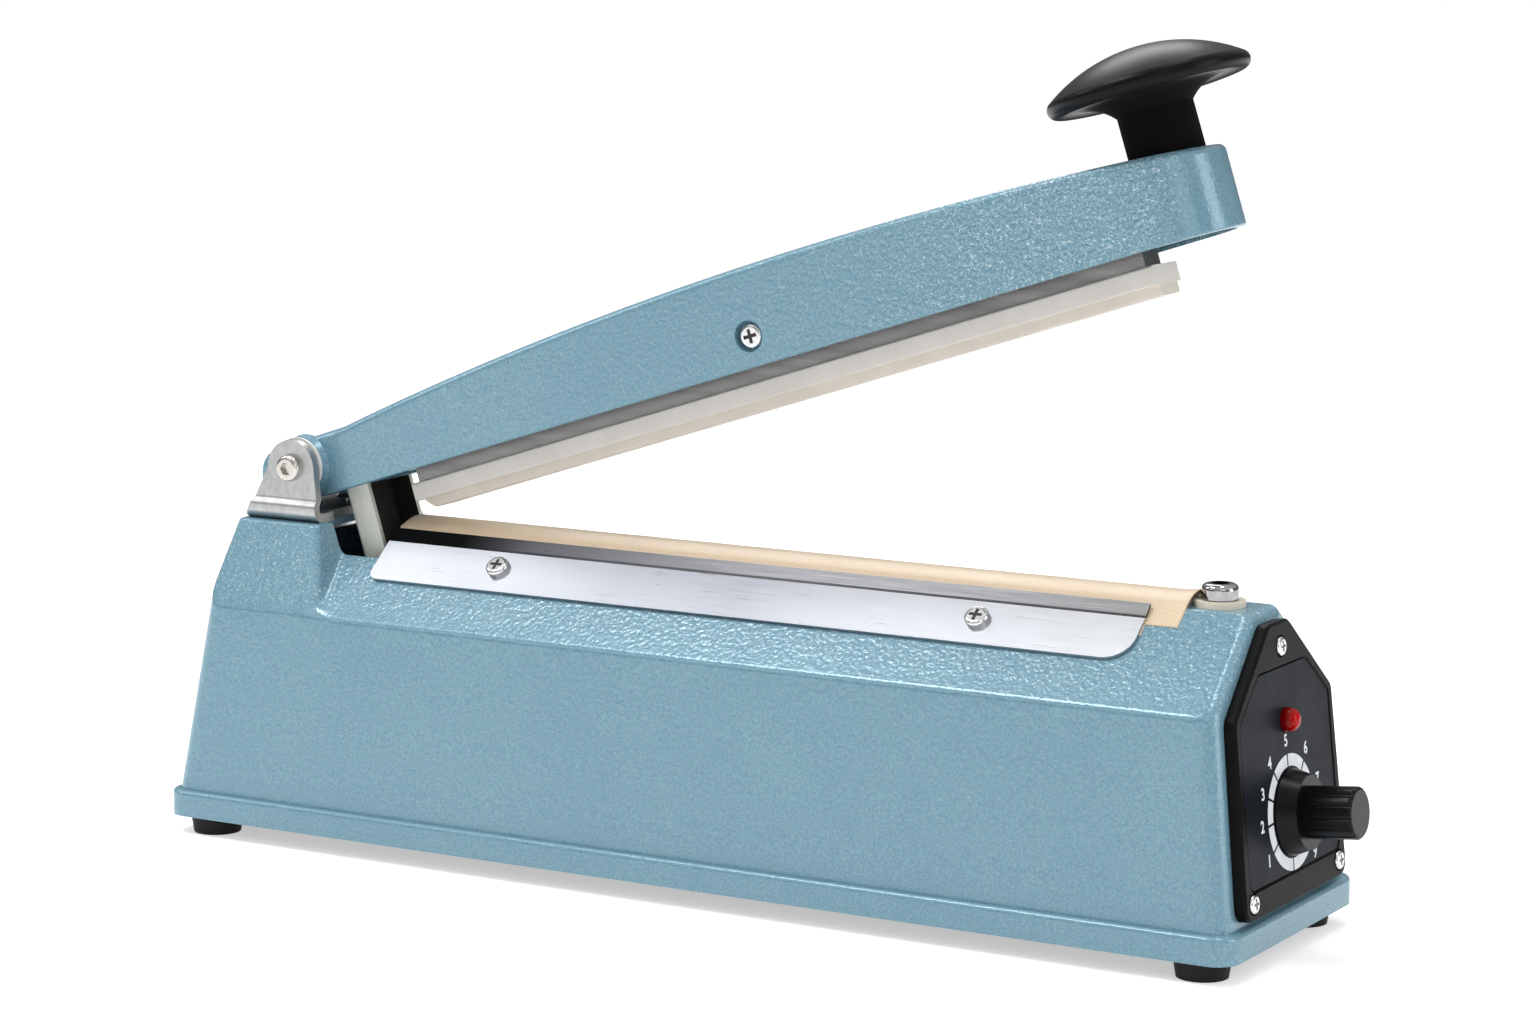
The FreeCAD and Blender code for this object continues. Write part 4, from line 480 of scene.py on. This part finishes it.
def coilSpring():
    form = bmesh.new()
    wire, radius, height = (springCoil[key] for key in ("wire", "radius", "height"))
    run = springCoil["right"] - springCoil["left"]
    turns = springCoil["turns"]
    steps = turns * springCoil["turnSteps"]
    gap = springCoil["eyeGap"]
    ring = bmesh.ops.create_circle(form, segments=8, radius=wire)["verts"]
    stand = Matrix.Translation((springCoil["left"], 0, height + radius))
    bmesh.ops.transform(form, matrix=stand, verts=ring)
    edges = list({edge for corner in ring for edge in corner.link_edges})
    bmesh.ops.spin(form, geom=ring + edges, cent=(springCoil["left"], 0, height), axis=(1, 0, 0),
                   dvec=(run / steps, 0, 0), angle=turns * 2 * math.pi, steps=steps)
    for place, way in ((springCoil["left"] - gap, -1), (springCoil["right"] + gap, 1)):
        loop = bmesh.ops.create_circle(form, segments=8, radius=wire)["verts"]
        stand = Matrix.Translation((place, 0, height + springCoil["eyeRadius"]))
        bmesh.ops.transform(form, matrix=stand @ Matrix.Rotation(math.pi / 2, 4, "Y"), verts=loop)
        edges = list({edge for corner in loop for edge in corner.link_edges})
        bmesh.ops.spin(form, geom=loop + edges, cent=(place, 0, height), axis=(0, way, 0),
                       angle=math.radians(springCoil["eyeSweep"]), steps=springCoil["eyeSteps"])
    bmesh.ops.recalc_face_normals(form, faces=form.faces)
    for face in form.faces:
        face.smooth = True
    piece = makePiece("spring_coil", form, "springSteel", None)
    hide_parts("return_spring")
    return piece


spring = coilSpring()
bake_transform(spring)
print("tape, recesses and spring made")


panelFace = {"foot": (0.188091, 0, -0.0016), "lean": math.atan(0.1), "label": 0.0037}


def onPanel(lift=0.0):
    lean = panelFace["lean"]
    out = Vector((math.cos(lean), 0, math.sin(lean)))
    upward = Vector((-math.sin(lean), 0, math.cos(lean)))
    grid = Matrix((Vector((0, 1, 0)), upward, out)).transposed().to_4x4()
    return Matrix.Translation(Vector(panelFace["foot"]) + out * lift) @ grid


dialPrint = {"centre": (0.0, 0.046), "inner": 0.0142, "outer": 0.018, "gap": 0.0009,
             "thick": 0.00004, "radius": 0.0222, "height": 0.0037, "bold": 0.00013,
             "marks": (211.8, 181.5, 155.8, 128.1, 91.7, 51.5, 16.5, -16, -45),
             "cuts": (212.6, 183.7, 156.5, 128.2, 91.5, 50.2, 16.5, -16, -45, -94.6)}


def dialRing():
    form = bmesh.new()
    cuts = dialPrint["cuts"]
    across = Vector(dialPrint["centre"]).to_3d()
    for start, end in zip(cuts, cuts[1:] + (cuts[0] - 360,)):
        trim = math.degrees(dialPrint["gap"] / 2 / dialPrint["outer"])
        first = math.radians(start - trim)
        sweep = math.radians(end - start + 2 * trim)
        way = Vector((math.cos(first), math.sin(first), 0))
        ends = [form.verts.new(way * dialPrint[key]) for key in ("inner", "outer")]
        edge = form.edges.new(ends)
        steps = max(4, round(abs(math.degrees(sweep)) / 4))
        bmesh.ops.spin(form, geom=ends + [edge], cent=(0, 0, 0), axis=(0, 0, 1), angle=sweep,
                       steps=steps)
    bmesh.ops.recalc_face_normals(form, faces=form.faces)
    bmesh.ops.solidify(form, geom=form.faces[:], thickness=dialPrint["thick"])
    bmesh.ops.translate(form, verts=form.verts, vec=across)
    bmesh.ops.recalc_face_normals(form, faces=form.faces)
    bmesh.ops.transform(form, matrix=onPanel(panelFace["label"] + dialPrint["thick"]),
                        verts=form.verts)
    return makePiece("dial_ring", form, "printWhite", "base")


dialRing()
for number, angle in enumerate(dialPrint["marks"], 1):
    text = bpy.data.curves.new("mark", "FONT")
    text.body = str(number)
    text.size = dialPrint["height"] * 1.42
    text.align_x = "CENTER"
    text.align_y = "CENTER"
    text.extrude = dialPrint["thick"] / 2
    text.offset = dialPrint["bold"]
    drawn = bpy.data.objects.new("mark", text)
    bpy.context.scene.collection.objects.link(drawn)
    bpy.context.view_layer.update()
    mesh = bpy.data.meshes.new_from_object(drawn)
    bpy.data.objects.remove(drawn)
    form = bmesh.new()
    form.from_mesh(mesh)
    turn = math.radians(angle)
    along = Vector((dialPrint["centre"][0] + math.cos(turn) * dialPrint["radius"],
                    dialPrint["centre"][1] + math.sin(turn) * dialPrint["radius"], 0))
    bmesh.ops.translate(form, verts=form.verts, vec=along)
    bmesh.ops.transform(form, matrix=onPanel(panelFace["label"] + dialPrint["thick"] / 2),
                        verts=form.verts)
    makePiece("dial_mark_%d" % number, form, "printWhite", "base")
print("dial printed")


studio = {"floor": tint(240, 240, 240), "glow": 0.48, "world": 0.8, "shine": 0.9,
          "dome": ((0.5, 0.14), (0.62, 0.26), (0.8, 0.8), (1.0, 1.0))}


def seenDirectly(paint):
    rays = [paint.add("ShaderNodeLightPath", {}, {}, name)
            for name in ("Is Camera Ray", "Is Glossy Ray", "Is Transmission Ray")]
    return paint.sum("MINIMUM", rays[0] + rays[1] + rays[2], 1.0)


def makeStudio():
    form = bmesh.new()
    bmesh.ops.create_grid(form, x_segments=1, y_segments=1, size=8)
    bmesh.ops.translate(form, verts=form.verts, vec=(0, 0, -0.00005))
    mesh = bpy.data.meshes.new("floor")
    form.to_mesh(mesh)
    form.free()
    floor = bpy.data.objects.new("floor", mesh)
    bpy.context.scene.collection.objects.link(floor)
    material = bpy.data.materials.new("floorWhite")
    material.use_nodes = True
    paint = Paint(material.node_tree)
    base = paint.add("ShaderNodeBsdfDiffuse", {}, {"Color": studio["floor"]})
    glow = paint.add("ShaderNodeEmission", {}, {"Color": (1, 1, 1, 1),
                                                "Strength": seenDirectly(paint) * studio["glow"]})
    both = paint.add("ShaderNodeAddShader", {}, {0: base, 1: glow})
    paint.add("ShaderNodeOutputMaterial", {}, {"Surface": both})
    mesh.materials.append(material)
    world = bpy.data.worlds.new("studio")
    world.use_nodes = True
    bpy.context.scene.world = world
    paint = Paint(world.node_tree)
    way = paint.add("ShaderNodeTexCoord", {}, {}, "Generated")
    rise = paint.add("ShaderNodeSeparateXYZ", {}, {"Vector": way}, "Z")
    dome = paint.ramp(rise * 0.5 + 0.5, *studio["dome"])
    seen = paint.add("ShaderNodeLightPath", {}, {}, "Is Camera Ray")
    shine = seenDirectly(paint) * (studio["shine"] - studio["world"]) + studio["world"]
    sky = paint.add("ShaderNodeBackground", {}, {
        "Color": paint.mix(seen, dome, (1, 1, 1, 1)),
        "Strength": seen * (1 - studio["shine"]) + shine})
    paint.add("ShaderNodeOutputWorld", {}, {"Surface": sky})


lamps = (
    {"name": "key", "at": (-0.7, -0.62, 1.74), "size": (0.9, 0.32), "power": 12},
    {"name": "front", "at": (-0.95, -1.55, 0.95), "size": (0.7, 0.5), "power": 1.3},
    {"name": "left", "at": (-1.42, -0.45, 1.15), "size": (0.4, 0.7), "power": 4},
    {"name": "side", "at": (1.66, 0.2, 0.5), "size": (0.6, 1.1), "power": 6},
    {"name": "right", "at": (1.25, -1.25, 0.8), "size": (0.9, 1.0), "power": 3},
    {"name": "low", "at": (0.3, -1.8, 0.3), "size": (1.6, 0.4), "power": 1.8},
    {"name": "top", "at": (0.3, 0.1, 1.75), "size": (0.5, 0.34), "power": 4},
    {"name": "back", "at": (-0.7, 1.15, 1.2), "size": (0.7, 0.5), "power": 5},
)


def makeLamps():
    for lamp in lamps:
        light = bpy.data.lights.new(lamp["name"], "AREA")
        light.shape = "RECTANGLE"
        light.size, light.size_y = lamp["size"]
        light.energy = lamp["power"]
        shown = bpy.data.objects.new(lamp["name"], light)
        shown.location = lamp["at"]
        shown.visible_camera = False
        aim = Vector((0, 0, 0.12)) - shown.location
        shown.rotation_euler = aim.to_track_quat("-Z", "Y").to_euler()
        bpy.context.scene.collection.objects.link(shown)


view = {"azimuth": 30.191, "elevation": 8.915, "distance": 1.359549, "roll": 0.183,
        "target": (0.001176, 0, 0.122363), "lens": 97.8149}


def makeCamera():
    azimuth, elevation, roll = (math.radians(view[key]) for key in ("azimuth", "elevation", "roll"))
    back = Vector((math.sin(azimuth) * math.cos(elevation),
                   -math.cos(azimuth) * math.cos(elevation), math.sin(elevation)))
    right = Vector((math.cos(azimuth), math.sin(azimuth), 0))
    up = back.cross(right)
    turned = right * math.cos(roll) + up * math.sin(roll)
    camera = bpy.data.cameras.new("camera")
    camera.lens = view["lens"]
    camera.sensor_width = 36
    camera.sensor_fit = "HORIZONTAL"
    shown = bpy.data.objects.new("camera", camera)
    grid = Matrix((turned, back.cross(turned), back)).transposed().to_4x4()
    shown.matrix_world = Matrix.Translation(Vector(view["target"]) + back * view["distance"]) @ grid
    bpy.context.scene.collection.objects.link(shown)
    bpy.context.scene.camera = shown


makeStudio()
makeLamps()
makeCamera()
bpy.context.scene.view_settings.view_transform = "Standard"
print("studio ready")
